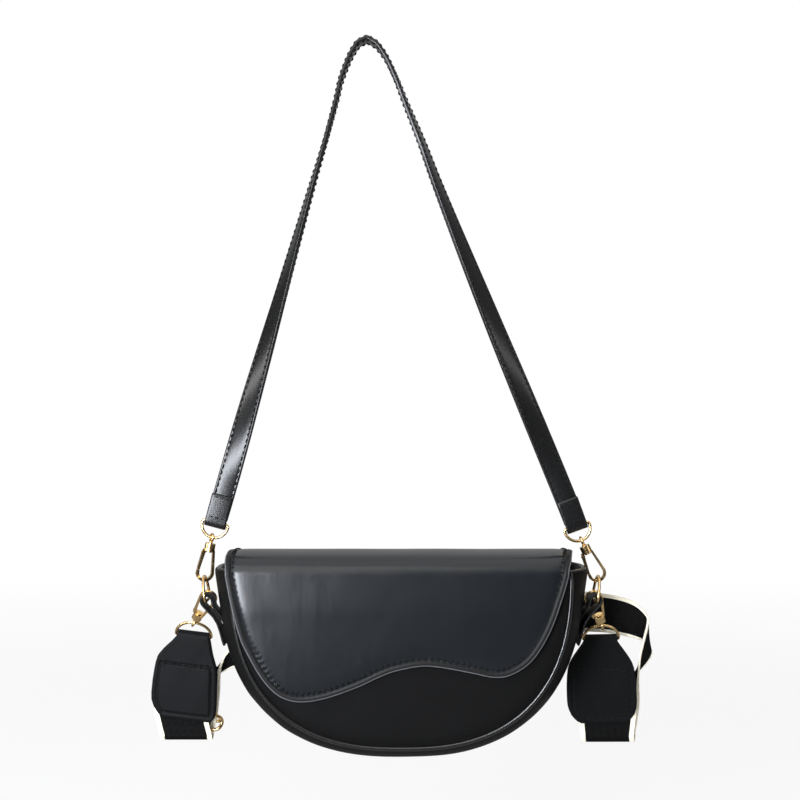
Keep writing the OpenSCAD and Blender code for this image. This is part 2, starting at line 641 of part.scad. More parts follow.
module slider() color(GOLD) translate([bag_x + web_x(LEFT), web_back_y(),
    mouth_z + web_bottom + slider_half_h + seat]) {
    half = web_w / 2 + slider_gap;
    deep = web_t / 2 + slider_gap;
    for (s = [LEFT, RIGHT]) {
        translate([s * (half + slider_rail / 2), 0, 0])
            cube([slider_rail, 2 * (deep + slider_t), 2 * slider_half_h], center = true);
        translate([0, -deep - slider_t / 2, s * (slider_half_h - slider_bar / 2)])
            cube([2 * half + cut, slider_t, slider_bar], center = true);
    }
    translate([0, deep + slider_t / 2, 0])
        cube([2 * half + cut, slider_t, slider_bar], center = true);
}

front_panel();
back_panel();
gusset();
piping(-half_depth - leather_t / 2);  // front_piping
piping(half_depth + leather_t / 2);  // back_piping
lining();
slip_pocket();
snap_socket();
snap_washer();
side_tab(LEFT);  // side_tab_left
side_tab(RIGHT);  // side_tab_right
bag_ring(LEFT);  // bag_ring_left
bag_ring(RIGHT);  // bag_ring_right
flap_back();
flap_top();
flap_top_lining();
flap_front();
flap_front_lining();
flap_rim();
snap_stud();
shoulder_strap();
strap_end(LEFT);  // strap_end_left
strap_end(RIGHT);  // strap_end_right
strap_ring(LEFT);  // strap_ring_left
strap_ring(RIGHT);  // strap_ring_right
at_upper(LEFT) hook_eye();  // upper_eye_left
at_upper(RIGHT) hook_eye();  // upper_eye_right
at_upper(LEFT) hook_body();  // upper_hook_left
at_upper(RIGHT) hook_body();  // upper_hook_right
at_upper(LEFT) hook_pin();  // upper_pin_left
at_upper(RIGHT) hook_pin();  // upper_pin_right
at_upper(LEFT) hook_gate();  // upper_gate_left
at_upper(RIGHT) hook_gate();  // upper_gate_right
webbing();
webbing_pad(LEFT);  // webbing_pad_left
webbing_pad(RIGHT);  // webbing_pad_right
webbing_ring(LEFT);  // webbing_ring_left
webbing_ring(RIGHT);  // webbing_ring_right
at_lower(LEFT) hook_eye();  // lower_eye_left
at_lower(RIGHT) hook_eye();  // lower_eye_right
at_lower(LEFT) hook_body();  // lower_hook_left
at_lower(RIGHT) hook_body();  // lower_hook_right
at_lower(LEFT) hook_pin();  // lower_pin_left
at_lower(RIGHT) hook_pin();  // lower_pin_right
at_lower(LEFT) hook_gate();  // lower_gate_left
at_lower(RIGHT) hook_gate();  // lower_gate_right
slider();
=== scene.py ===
# %% [markdown]
# # Dressing a saddle handbag
# The frame that is loaded here holds the bag's hardware, its hinges and its sizes. Each leather
# or cloth piece is then built over it as a surface of its own, in millimetres of the same frame.

# %% Load the frame
import math

import bpy
import numpy as np
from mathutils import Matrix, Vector, noise


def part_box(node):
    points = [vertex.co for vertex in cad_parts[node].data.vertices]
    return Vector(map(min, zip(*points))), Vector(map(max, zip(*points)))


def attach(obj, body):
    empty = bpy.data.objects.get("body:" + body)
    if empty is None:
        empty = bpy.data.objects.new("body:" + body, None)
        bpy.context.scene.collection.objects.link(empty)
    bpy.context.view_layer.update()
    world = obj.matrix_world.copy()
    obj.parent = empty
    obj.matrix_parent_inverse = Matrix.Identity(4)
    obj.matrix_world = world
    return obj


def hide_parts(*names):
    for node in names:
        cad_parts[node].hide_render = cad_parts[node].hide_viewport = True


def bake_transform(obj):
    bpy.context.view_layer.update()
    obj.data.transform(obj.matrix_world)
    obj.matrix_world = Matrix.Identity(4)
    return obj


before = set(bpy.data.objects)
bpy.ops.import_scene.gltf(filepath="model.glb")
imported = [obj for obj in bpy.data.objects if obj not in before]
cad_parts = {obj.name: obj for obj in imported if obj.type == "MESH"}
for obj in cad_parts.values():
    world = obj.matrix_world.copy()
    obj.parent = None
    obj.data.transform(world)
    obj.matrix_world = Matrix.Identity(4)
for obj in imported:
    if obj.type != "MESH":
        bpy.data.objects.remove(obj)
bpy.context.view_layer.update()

# %% [markdown]
# The camera comes first. The photograph looks level at the bag from about a metre, a little
# above the pouch, so a long lens stands there too.

# %% Camera
FOCAL_PX, FRAME_PX, SENSOR = 1449, 800, 36


def new_object(name, data):
    piece = bpy.data.objects.new(name, data)
    bpy.context.scene.collection.objects.link(piece)
    return piece


camera = new_object("photo_camera", bpy.data.cameras.new("photo_camera"))
camera.data.sensor_width = SENSOR
camera.data.lens = SENSOR * FOCAL_PX / FRAME_PX
camera.location = (0.0226, -1.0, -0.2474)
camera.rotation_euler = (math.radians(90), 0, 0)
bpy.context.scene.camera = camera
print("lens, mm:", round(camera.data.lens, 1))

# %% [markdown]
# Most pieces are sheets. A sheet could be cut from a plane and bent, but a grid of points that a
# formula places keeps the seams even, and its rows give the lengths that the grain is scaled by.

# %% Helpers for grids of points
def unit_rows(rows):
    return rows / np.linalg.norm(rows, axis=1)[:, None]


def lengths_along(line):
    """The length from the start of a line to each of its points."""
    return np.append(0, np.linalg.norm(np.diff(line, axis=0), axis=1).cumsum())


def points_at(line, lengths, at):
    return np.stack([np.interp(at, lengths, line[:, k]) for k in range(line.shape[1])], 1)


def grid_faces(rows, cols, closed, capped, start=0):
    """The faces over a grid. capped closes its first row (1) or both end rows (2)."""
    number = (start + np.arange(rows * cols)).reshape(rows, cols).tolist()
    wrap = cols if closed else cols - 1
    faces = [(upper[c], lower[c], lower[(c + 1) % cols], upper[(c + 1) % cols])
             for upper, lower in zip(number, number[1:]) for c in range(wrap)]
    return faces + [tuple(number[0]), tuple(reversed(number[-1]))][:capped]


def grid_mesh(name, grid, closed=False, capped=0, flip=False, uv=None):
    """A mesh over a grid of points in mm, with the lengths along it in metres as its UV map."""
    grid = np.asarray(grid, float)
    if uv is None:
        along, down = [np.insert(np.linalg.norm(np.diff(grid, axis=k), axis=2).cumsum(k), 0, 0, k)
                       for k in (1, 0)]
        uv = np.stack([along, down], 2)
    faces = grid_faces(*grid.shape[:2], closed, capped)
    if flip:
        faces = [tuple(reversed(f)) for f in faces]
    mesh = bpy.data.meshes.new(name)
    mesh.from_pydata((grid.reshape(-1, 3) / 1000).tolist(), [], faces)
    lengths = mesh.uv_layers.new(name="lengths")
    index = np.zeros(len(mesh.loops), int)
    mesh.loops.foreach_get("vertex_index", index)
    corners = (np.reshape(uv, (-1, 2)) / 1000)[index]
    lengths.data.foreach_set("uv", corners.astype(np.float32).ravel())
    mesh.shade_smooth()
    return new_object(name, mesh)


def dress(piece, finishes, body=None, stands_for=(), thick=0, smooth=1,
          blend=None, rim=0):
    """Gives a piece its thickness, finishes and body, and hides the nodes that it stands for."""
    for finish in finishes if isinstance(finishes, list) else [finishes]:
        piece.data.materials.append(finish)
    if thick:
        shell = piece.modifiers.new("thickness", "SOLIDIFY")
        shell.thickness, shell.offset = thick / 1000, -1
        shell.material_offset_rim = rim
    if smooth:
        piece.modifiers.new("smooth", "SUBSURF").render_levels = smooth
        piece.modifiers["smooth"].levels = smooth
    if piece.modifiers:
        graph = bpy.context.evaluated_depsgraph_get()
        mesh = bpy.data.meshes.new_from_object(piece.evaluated_get(graph))
        piece.modifiers.clear()
        piece.data = mesh
    if blend:
        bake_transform(piece)
    else:
        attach(piece, body)
    if stands_for:
        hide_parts(*stands_for)
    print(piece.name, len(piece.data.polygons), "faces")


def uneven(point, size):
    """A soft random value from -1 to 1 that changes over about size millimetres."""
    return noise.noise(Vector(point) / size)


def soft_step(value):
    """From 0 to 1 with soft ends."""
    value = min(max(value, 0), 1)
    return value * value * (3 - 2 * value)


def smooth_curve(points, steps):
    """A smooth curve through the points, with steps parts between each two of them."""
    p = np.asarray(points, float)
    out = []
    for i in range(len(p) - 1):
        a, b, c, d = p[max(i - 1, 0)], p[i], p[i + 1], p[min(i + 2, len(p) - 1)]
        for u in np.arange(steps) / steps:
            out.append(0.5 * (2 * b + (c - a) * u + (2 * a - 5 * b + 4 * c - d) * u * u
                              + (3 * b - a - 3 * c + d) * u ** 3))
    return np.array(out + [p[-1]])


def even_points(line, count):
    """The points at even lengths along a line."""
    line = np.asarray(line, float)
    lengths = lengths_along(line)
    return points_at(line, lengths, np.linspace(0, lengths[-1], count))

# %% [markdown]
# Every finish is a small tree of shader nodes. Colours are given as sRGB hex values and
# turned to linear light in one place, and one function adds a node with its settings and links.

# %% Helpers for finishes
def colour(code):
    srgb = [int(code[i:i + 2], 16) / 255 for i in (1, 3, 5)]
    return (*[c / 12.92 if c <= 0.04045 else ((c + 0.055) / 1.055) ** 2.4 for c in srgb], 1)


def new_finish(name, hex_code, **surface):
    material = bpy.data.materials.new(name)
    material.use_nodes = True
    shader = material.node_tree.nodes["Principled BSDF"]
    shader.inputs["Base Color"].default_value = colour(hex_code)
    for socket, value in surface.items():
        shader.inputs[socket.replace("_", " ")].default_value = value
    return material, material.node_tree, shader


def add(tree, kind, inputs=None, **settings):
    node = tree.nodes.new("ShaderNode" + kind)
    for name, value in settings.items():
        setattr(node, name, value)
    for name, value in (inputs or {}).items():
        if isinstance(value, bpy.types.NodeSocket):
            tree.links.new(value, node.inputs[name])
        else:
            node.inputs[name].default_value = value
    return node


def stretch(tree, value, low, high, to_low, to_high, way="LINEAR"):
    """The range from low to high, stretched onto another one."""
    return add(tree, "MapRange", {"Value": value, "From Min": low, "From Max": high,
                                  "To Min": to_low, "To Max": to_high},
               interpolation_type=way).outputs[0]


def relief(tree, height, strength, distance, shader, under=None):
    """A bump on top of the one under it, linked to the surface. The distance is in metres."""
    bump = add(tree, "Bump", {"Height": height, "Strength": strength, "Distance": distance})
    if under:
        tree.links.new(under.outputs[0], bump.inputs["Normal"])
    tree.links.new(bump.outputs[0], shader.inputs["Normal"])
    return bump


def per_metre(size_mm):
    """How often a pattern of that size repeats in a metre."""
    return 1000 / size_mm

# %% [markdown]
# The bag is coated leather: split hide under a black polyurethane film, embossed with a very
# fine grain and then glazed. It gives the eye an even black, one broad soft highlight and faint
# long wrinkles. A photograph of grain could be used, but noise and cells in real sizes keep
# their scale on every piece. The true grain of 0.4 mm is too fine to show, so it is drawn at 1.1.

# %% Coated leather
LEATHER_GRAIN, LEATHER_WRINKLE, LEATHER_SWELL, DRIFT = 1.1, 7, 34, 0.01


def coated_leather(name, hex_code, roughness, gloss, wrinkle, swell):
    material, tree, shader = new_finish(name, hex_code, IOR=1.5, Specular_IOR_Level=gloss)
    where = add(tree, "TexCoord").outputs["UV"]
    long_way = add(tree, "Mapping", {"Vector": where, "Scale": (1, 0.35, 1)}).outputs["Vector"]
    cells = add(tree, "TexVoronoi", {"Vector": where, "Scale": per_metre(LEATHER_GRAIN)})
    creases = add(tree, "TexNoise", {"Vector": long_way, "Scale": per_metre(LEATHER_WRINKLE),
                                     "Detail": 3.0, "Roughness": 0.55})
    swells = add(tree, "TexNoise", {"Vector": where, "Scale": per_metre(LEATHER_SWELL),
                                    "Detail": 1.0})
    fine = relief(tree, cells.outputs["Distance"], 0.05, 0.0004, shader)
    middle = relief(tree, creases.outputs[0], wrinkle, 0.002, shader, fine)
    relief(tree, swells.outputs[0], swell, 0.004, shader, middle)
    # Handling polishes the film in patches, so the roughness drifts a little
    drift = stretch(tree, creases.outputs[0], 0.3, 0.7, roughness - DRIFT, roughness + DRIFT)
    tree.links.new(drift, shader.inputs["Roughness"])
    return material


# The flap is glazed, with a cold black; the pouch is duller; the straps lie between the two
flap_leather = coated_leather("coated_leather_glazed", "#131619", 0.26, gloss=0.42,
                              wrinkle=0.035, swell=0.08)
pouch_leather = coated_leather("coated_leather_body", "#0F0F0F", 0.44, gloss=0.06,
                               wrinkle=0.05, swell=0.1)
strap_leather = coated_leather("coated_leather_strap", "#131313", 0.27, gloss=0.4,
                               wrinkle=0.03, swell=0.04)
piping_leather = coated_leather("coated_leather_piping", "#121212", 0.24, gloss=0.7,
                                wrinkle=0.02, swell=0.02)
pad_leather = coated_leather("coated_leather_pad", "#111213", 0.42, gloss=0.06,
                             wrinkle=0.05, swell=0.1)
print("leathers: 5, grain, mm:", LEATHER_GRAIN)

# %% [markdown]
# The cut edges are sealed with acrylic edge paint, thick and satin, with a slight waviness from
# the roller, all black; the flap's outer corner is light grey instead, a painted highlight for the
# light line that its rolled edge catches. The seams are sewn in bonded nylon thread, black too,
# whose twist gives each stitch small diagonal glints.

# %% Edge paint and thread
def edge_paint(name, hex_code, gloss):
    material, tree, shader = new_finish(name, hex_code, Roughness=0.45, Specular_IOR_Level=gloss)
    where = add(tree, "TexCoord").outputs["Object"]
    waves = add(tree, "TexNoise", {"Vector": where, "Scale": per_metre(2.5)})
    relief(tree, waves.outputs[0], 0.2, 0.0003, shader)
    return material


# The light grey is a painted highlight: it stands in for the light line on the flap's rolled outer
# corner
grey_edge_highlight = edge_paint("edge_grey_painted_highlight", "#55575A", 0.5)
black_edge = edge_paint("acrylic_edge_paint_black", "#161616", 0.2)

nylon_thread, tree, shader = new_finish(
    "bonded_nylon_thread", "#0A0A0A", Roughness=0.5, Specular_IOR_Level=0.15, Sheen_Weight=0.05)
where = add(tree, "TexCoord").outputs["Object"]
# A wave texture repeats 6.28 times over one unit of its scale
WAVES, TWIST = 6.28, 1.0
twist = add(tree, "TexWave", {"Vector": where, "Scale": per_metre(TWIST) / WAVES,
                              "Distortion": 0.6}, bands_direction="DIAGONAL")
relief(tree, twist.outputs[1], 0.5, 0.0002, shader)
print("thread twist, mm:", TWIST)

# %% [markdown]
# Lining cloth is a plain-woven polyester, dark grey and matt. Its threads are 0.3 mm apart, too
# fine to show, so the weave is drawn at 0.9 mm from two crossed sine waves. The webbing is
# heavy nylon, woven in ribs 1.3 mm apart, with two selvedges in cream cotton.

# %% Lining cloth and webbing
def woven(name, hex_code, thread, depth, roughness, sheen, gloss=0.2):
    material, tree, shader = new_finish(name, hex_code, Roughness=roughness,
                                        Specular_IOR_Level=gloss, Sheen_Weight=sheen)
    where = add(tree, "TexCoord").outputs["UV"]
    heights = [add(tree, "TexWave", {"Vector": where, "Scale": per_metre(thread) / WAVES / 2},
                   bands_direction=way, wave_profile="SIN").outputs[1] for way in ("X", "Y")]
    weave = add(tree, "Math", {0: heights[0], 1: heights[1]}, operation="MULTIPLY")
    relief(tree, weave.outputs[0], depth, 0.0005, shader)
    return material


lining_cloth = woven("polyester_lining", "#26262A", 0.9, 0.5, 0.85, 0.2)
# The webbing looks dull black with a faint rib, and its selvedges have the same rib
black_webbing = woven("nylon_webbing_black", "#0D0D0D", 1.3, 0.7, 0.7, 0, gloss=0.06)
cream_webbing = woven("cotton_selvedge_cream", "#EDE6D2", 1.3, 0.8, 0.75, 0.1)
print("woven finishes: 3")

# %% [markdown]
# The hardware is zinc alloy, cast, tumbled and plated in pale gold. Plating gives mirror-like
# highlights with brown shadows, and handling leaves hair-fine marks that soften them a little.
# A metal keeps the default index of refraction.

# %% Pale gold plating
gold, tree, shader = new_finish("zinc_alloy_pale_gold", "#F0CE93", Metallic=1.0)
where = add(tree, "TexCoord").outputs["Object"]
rub = add(tree, "TexNoise", {"Vector": where, "Scale": per_metre(5), "Detail": 4.0})
rubbed = stretch(tree, rub.outputs[0], 0.35, 0.7, 0.22, 0.32)
tree.links.new(rubbed, shader.inputs["Roughness"])
dents = add(tree, "TexNoise", {"Vector": where, "Scale": per_metre(1.6), "Detail": 2.0})
relief(tree, dents.outputs[0], 0.12, 0.0003, shader)

HARDWARE = [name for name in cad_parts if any(word in name for word in (
    "ring", "eye", "hook", "pin", "gate", "snap", "slider")) and "piping" not in name]
for name in HARDWARE:
    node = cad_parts[name]
    node.data.materials.clear()
    node.data.materials.append(gold)
print("plated pieces:", len(HARDWARE))

# %% [markdown]
# The pouch is two half-moon panels joined by one gusset strip that swells out between them. It
# could be one lofted blob, but the seams are what makes it read as sewn, so each sheet is its
# own. The outline is a superellipse: squarer than an ellipse, as stiff leather makes it.

# %% Where the pouch is
def size_of(node):
    low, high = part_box(node)
    return np.array(low) * 1000, np.array(high) * 1000


front_low, front_high = size_of("front_panel")
back_low, back_high = size_of("back_panel")
BAG = np.array([(front_low[0] + front_high[0]) / 2, (front_low[1] + back_high[1]) / 2,
                front_high[2]])
HALF_W = (front_high[0] - front_low[0]) / 2
DROP = front_high[2] - front_low[2]
FACE_Y = (back_high[1] - front_low[1]) / 2
LEATHER = 2
HALF_DEPTH = FACE_Y - LEATHER
SWELL, FLARE, FLARE_DROP = 11.5, 3.5, 40
print("pouch centre, mm:", BAG.round(2), "half width", HALF_W, "drop", DROP, "face", FACE_Y)


def in_bag(grid):
    return np.asarray(grid, float) + BAG


def metres(*point):
    """A point of the bag in metres."""
    return tuple(in_bag(point) / 1000)


def half_moon(a, b, count):
    t = np.linspace(0, math.pi, count)
    c, s = np.cos(t), np.sin(t)
    return np.stack([a * np.sign(c) * np.abs(c) ** 0.8, -b * np.abs(s) ** 0.8], 1)


def gusset_ring(share, inset, count):
    """The gusset's outline at a share of the half depth, in points (x, y, z)."""
    fall = 1 - abs(share) ** 2.4
    line = half_moon(HALF_W + SWELL * fall - inset, DROP + SWELL * fall - inset, count)
    lip = FLARE * fall * np.clip(1 + line[:, 1] / FLARE_DROP, 0, 1) ** 2
    return np.stack([line[:, 0] + np.sign(line[:, 0]) * lip, np.full(count, share * HALF_DEPTH),
                     line[:, 1]], 1)

# %% [markdown]
# The gusset is one long strip, steamed over a form so that it swells between the panels. Soft
# leather ripples where it turns a corner, so a little noise moves the points out and in.

# %% Gusset
COUNT = 121
TURN_X, TURN_WIDE = 88, 26
rows = []
for share in np.linspace(-1, 1, 27):
    ring = gusset_ring(share, 0, COUNT)
    for p in ring:
        # It ripples most where the strip turns the two lower corners
        turn = math.exp(-((abs(p[0]) - TURN_X) / TURN_WIDE) ** 2) * (1 - share * share)
        out = Vector((p[0], 0, p[2] + 30)).normalized()
        push = (0.55 * uneven(p * (1, 0.25, 1), 13) * turn
                + 0.35 * uneven(p, 30) * (1 - share * share))
        p += np.array(out) * push
    rows.append(ring)
dress(grid_mesh("gusset_leather", in_bag(rows)), pouch_leather, "pouch", ["gusset"], thick=LEATHER)

# %% [markdown]
# A sewn panel is not quite flat: it crowns a little, and its edge rolls back into the piped seam.

# %% Front and back panels
def panel_grid(side):
    rows = []
    for r in [0.01, 0.15, 0.3, 0.45, 0.6, 0.72, 0.82, 0.9, 0.94, 0.96, 0.975, 0.985, 0.993, 1]:
        line = half_moon(HALF_W, DROP, COUNT) * r
        roll = 1.5 * max(0, (r - 0.95) / 0.05) ** 2
        crown = 0.7 * (1 - r ** 3)
        y = [side * (FACE_Y + crown - roll + 0.3 * uneven((x, side * 9, z), 28)) for x, z in line]
        rows.append(np.stack([line[:, 0], y, line[:, 1]], 1))
    return in_bag(rows)


for side, name in ((-1, "front_panel"), (1, "back_panel")):
    dress(grid_mesh(name + "_leather", panel_grid(side), flip=side > 0), pouch_leather, "pouch",
          [name], thick=LEATHER - 0.2)

# %% [markdown]
# Piping is a cord wrapped in a strip of the same leather and caught in the seam. It could be a
# curve with a round bevel, but a swept grid gives it the same grain and lengths as the sheets.

# %% Swept tubes and piping
def tube(name, line, radius, sides=10, squash=1.0):
    """A tube along a line of points, with rounded ends. squash flattens it along the normal."""
    line = np.asarray(line, float)
    tangent = unit_rows(np.gradient(line, axis=0))
    up = np.cross(tangent[0], (0.3, 0.9, 0.2))
    rows = []
    for k, (point, t) in enumerate(zip(line, tangent)):
        up = up - t * np.dot(up, t)
        up /= np.linalg.norm(up)
        side = np.cross(t, up)
        r = radius * (0.55 if k in (0, len(line) - 1) else 1)
        rows.append([point + r * (up * math.cos(a) * squash + side * math.sin(a))
                     for a in np.arange(sides) * 2 * math.pi / sides])
    return grid_mesh(name, rows, closed=True, capped=2)


PIPE_R, PIPE_POINTS = 1.7, 150
for side, name in ((-1, "front"), (1, "back")):
    line = half_moon(HALF_W + PIPE_R + 0.1, DROP + PIPE_R + 0.1, PIPE_POINTS)
    line = np.stack([line[:, 0], np.full(PIPE_POINTS, side * (FACE_Y - 1)), line[:, 1]], 1)
    dress(tube(name + "_piping_leather", in_bag(line), PIPE_R), piping_leather, "pouch",
          [name + "_piping"])

# %% [markdown]
# The mouth is bound: a narrow strip folds over the raw top edges of leather and lining. It is a
# closed sweep, so one rounded section follows the whole rim.

# %% Mouth binding
def rim_line():
    across = np.linspace(-HALF_W + 1, HALF_W - 1, 40)
    front_edge = [(x, -FACE_Y + 1.2, 0) for x in across]
    back_edge = [(x, FACE_Y - 1.8, 0) for x in reversed(across)]
    right, left = [], []
    for share in np.linspace(-0.96, 0.96, 25):
        ring = gusset_ring(share, 1.2, 3)
        right.append((ring[0][0], share * HALF_DEPTH, 0))
        left.append((ring[2][0], share * HALF_DEPTH, 0))
    return np.array(front_edge + right + back_edge + left[::-1])


def binding_rows(line, half_thick, low, high):
    """A rounded upright section swept round a closed level line."""
    tangent = unit_rows(np.roll(line, -1, 0) - np.roll(line, 1, 0))
    out = np.stack([tangent[:, 1], -tangent[:, 0], np.zeros(len(line))], 1)
    section = [(-1, low), (-1, high - 1), (-0.6, high - 0.2), (0, high), (0.6, high - 0.2),
               (1, high - 1), (1, low), (0.7, low - 0.3), (-0.7, low - 0.3)]
    return [line + out * half_thick * a + np.array([0, 0, b]) for a, b in section]


grid = np.array(binding_rows(rim_line(), 1.9, -3.2, 0.7)).transpose(1, 0, 2)
grid = np.concatenate([grid, grid[:1]])
dress(grid_mesh("mouth_binding_leather", in_bag(grid), closed=True, flip=True), strap_leather,
      "pouch")

# %% [markdown]
# Inside is a cloth bag with a slip pocket. Both hang a little loose, so they are wavier than the
# leather. The lining is one sheet, from the front of the mouth round the bottom to the back.

# %% Lining and slip pocket
LINING_IN = 2.8


def lining_face(side, r):
    line = half_moon(HALF_W - LINING_IN, DROP - LINING_IN, COUNT) * r
    return np.stack([line[:, 0], np.full(COUNT, side * (HALF_DEPTH - 0.6)), line[:, 1]], 1)


shares = [0.02, 0.25, 0.5, 0.75, 0.9]
rows = [lining_face(-1, r) for r in shares]
rows += [gusset_ring(share, LINING_IN, COUNT) * (1, 0.98, 1) for share in np.linspace(-1, 1, 15)]
rows = np.array(rows + [lining_face(1, r) for r in reversed(shares)])
for row in rows[1:-1]:
    for p in row:
        p *= 1 - 0.006 * (1 + uneven(p, 16))
dress(grid_mesh("lining_cloth", in_bag(rows)), lining_cloth, "pouch", ["lining"],
      thick=0.5)

pocket_low, pocket_high = size_of("slip_pocket")
mid = (pocket_low[0] + pocket_high[0]) / 2
wide, tall = (pocket_high[0] - pocket_low[0]) / 2, pocket_high[2] - pocket_low[2]
rows = []
for v in np.linspace(0, 1, 15):
    # The lower corners are round, and the middle of the open edge sags forward
    half = wide * (1 if v < 0.8 else math.sqrt(1 - ((v - 0.8) / 0.2) ** 2 * 0.35))
    rows.append([(mid + u * half, pocket_high[1] - 0.9 - (1 - u * u) * (1 - v * v) * 0.8
                  - 0.3 * uneven((u * 60, 3, v * 50), 14), pocket_high[2] - v * tall)
                 for u in np.linspace(-1, 1, 25)])
dress(grid_mesh("slip_pocket_cloth", rows), lining_cloth, "pouch", ["slip_pocket"],
      thick=0.8)
hem = [(p[0], p[1] - 0.4, p[2]) for p in rows[0]]
dress(tube("slip_pocket_hem", hem, 1.1, squash=0.6), strap_leather, "pouch")

# %% [markdown]
# Each stitch is a short length of thread that dips into its two holes. A curve per stitch would
# be slow, so one mesh holds a whole row of small rounded bars that lie along the seam.

# %% Stitches
# Each ring of a stitch: how far along it, how thick and how high above the leather
RING_SHAPES = ((-1, 0.3, -0.9), (-0.8, 0.8, -0.1), (-0.3, 1, 0.25), (0.3, 1, 0.25),
               (0.8, 0.8, -0.1), (1, 0.3, -0.9))
RINGS, SIDES = len(RING_SHAPES), 6


def stitches(name, line, normals, pitch, length, radius=0.42, slant=0.0):
    """A row of stitches along a line. The normals, or one for all, point out of the leather."""
    line = np.asarray(line, float)
    normals = np.broadcast_to(np.asarray(normals, float), line.shape)
    lengths = lengths_along(line)
    count = max(2, int(lengths[-1] / pitch))
    at = (np.arange(count) + 0.5) * lengths[-1] / count
    middle, before, after, out = [
        points_at(values, lengths, at + shift)
        for shift, values in ((0, line), (-0.5, line), (0.5, line), (0, normals))]
    points, faces = [], []
    for p, d, n in zip(middle, after - before, out):
        d /= np.linalg.norm(d)
        n = n - d * np.dot(n, d)
        n /= np.linalg.norm(n)
        b = np.cross(d, n)
        d, b = d * math.cos(slant) + b * math.sin(slant), b * math.cos(slant) - d * math.sin(slant)
        faces += grid_faces(RINGS, SIDES, True, 2, len(points))
        for share, r, lift in RING_SHAPES:
            centre = p + d * share * length / 2 + n * lift * radius
            points += [centre + r * radius * (n * math.cos(a) + b * math.sin(a))
                       for a in np.arange(SIDES) * 2 * math.pi / SIDES]
    mesh = bpy.data.meshes.new(name)
    mesh.from_pydata((np.array(points) / 1000).tolist(), [], faces)
    mesh.shade_smooth()
    return new_object(name, mesh)


def sew(name, body, line, normals, pitch, length, radius=0.42):
    """Lays a row of stitches and dresses it in thread."""
    piece = stitches(name, line, normals, pitch, length, radius)
    dress(piece, nylon_thread, body, smooth=0)


# The gusset is top-stitched beside the binding, right across each side
for side, name in ((-1, "left"), (1, "right")):
    line = [gusset_ring(s, -0.05, 3)[1 - side] + np.array([0, 0, -4.8])
            for s in np.linspace(-0.93, 0.93, 31)]
    sew("gusset_stitches_" + name, "pouch", in_bag(line), (side, 0, 0), 4.0, 2.7)

# %% [markdown]
# The flap is one shaped sheet: it leaves the back of the mouth, arches over it, rolls down a
# rounded front corner and ends in a wavy edge. It is drawn flat first, as the cut leather lies
# on the bench, and each flat point is then wrapped over the profile that the frame gives.

# %% Flap profile and outline
FLAP_HALF, FLAP_DROP = 117, 83.5
ARCH_R, CORNER_R = 120, 13
ARCH_Y, ARCH_Z = -10, -107.5
CORNER_Y, CORNER_Z = -27.5, -1.94
ARCH_FROM, ARCH_TO = math.radians(20), math.radians(-9.41)
ARCH_LENGTH = ARCH_R * (ARCH_FROM - ARCH_TO)
CORNER_LENGTH = CORNER_R * (math.pi / 2 + ARCH_TO)
FRONT_START = ARCH_LENGTH + CORNER_LENGTH
# Depths, and the shares of the half width that the flap has there on the left and the right
PLAN = np.array([[-43, 1, 0.95], [-40.5, 1, 0.95], [-36.7, 1.005, 0.968], [-10, 1.01, 1],
                 [10, 1.005, 1], [40, 0.97, 0.96]])
# The wavy edge: shares of the half width and of the front's drop
EDGE = [(-1, 0), (-0.966, 0.227), (-0.924, 0.449), (-0.893, 0.56), (-0.81, 0.774),
        (-0.735, 0.905), (-0.66, 0.975), (-0.56, 1), (-0.416, 0.966), (-0.243, 0.879),
        (-0.13, 0.805), (-0.04, 0.757), (0.104, 0.717), (0.219, 0.724), (0.392, 0.768),
        (0.522, 0.804), (0.623, 0.783), (0.739, 0.672), (0.84, 0.449), (0.915, 0.165), (0.95, 0)]
FRONT_POINTS = 720


def flap_profile(s):
    """The point (y, z) at length s along the flap's outer face, and the way out of it."""
    if s < ARCH_LENGTH:
        a = ARCH_FROM - s / ARCH_R
        out = np.array([math.sin(a), math.cos(a)])
        return np.array([ARCH_Y, ARCH_Z]) + ARCH_R * out, out
    a = min(-ARCH_TO + (s - ARCH_LENGTH) / CORNER_R, math.pi / 2)
    out = np.array([-math.sin(a), math.cos(a)])
    point = np.array([CORNER_Y, CORNER_Z]) + CORNER_R * out
    return point - np.array([0, max(0, s - FRONT_START)]), out


def on_flap(x, s, height=0.0):
    point, out = flap_profile(s)
    y, z = point + out * height
    return (x, y, z)


def plan_half(y, side):
    """The flap's reach at that depth, to the left (1) or to the right (2)."""
    return FLAP_HALF * np.interp(y, PLAN[:, 0], PLAN[:, side])


def flap_outline():
    """The flat outline without its back edge, from the back left corner to the back right one."""
    sides = np.linspace(0, FRONT_START, 30)
    depth = [flap_profile(s)[0][0] for s in sides]
    left = [(-plan_half(y, 1), s) for y, s in zip(depth, sides)]
    right = [(plan_half(y, 2), s) for y, s in zip(depth, sides)]
    front = [(x * FLAP_HALF, FRONT_START + d * FLAP_DROP) for x, d in smooth_curve(EDGE, 8)]
    return np.array(left[:-1] + front + right[::-1][1:])


outline = even_points(flap_outline(), FRONT_POINTS)
print("flap outline, mm:", round(float(lengths_along(outline)[-1])))

# %% [markdown]
# Along the outline the leather is turned over a cord and sewn, so the section across the edge
# has a rolled band 4 mm wide, a stitch groove and then a padded rise. Each stitch gathers the
# leather, which shows as small bright puckers. The section is drawn in the mesh, not in a bump
# map, because it catches real highlights.

# %% Flap sheet
BACK_POINTS, EDGE_STEP, PITCH = 336, 0.679, 4.1
PADDED, AT_BACK = 0.8, 0.4
closed = np.vstack([outline, even_points([outline[-1], outline[0]], BACK_POINTS)[1:-1]])
turn = np.roll(closed, -1, 0) - np.roll(closed, 1, 0)
inward = unit_rows(np.stack([turn[:, 1], -turn[:, 0]], 1))
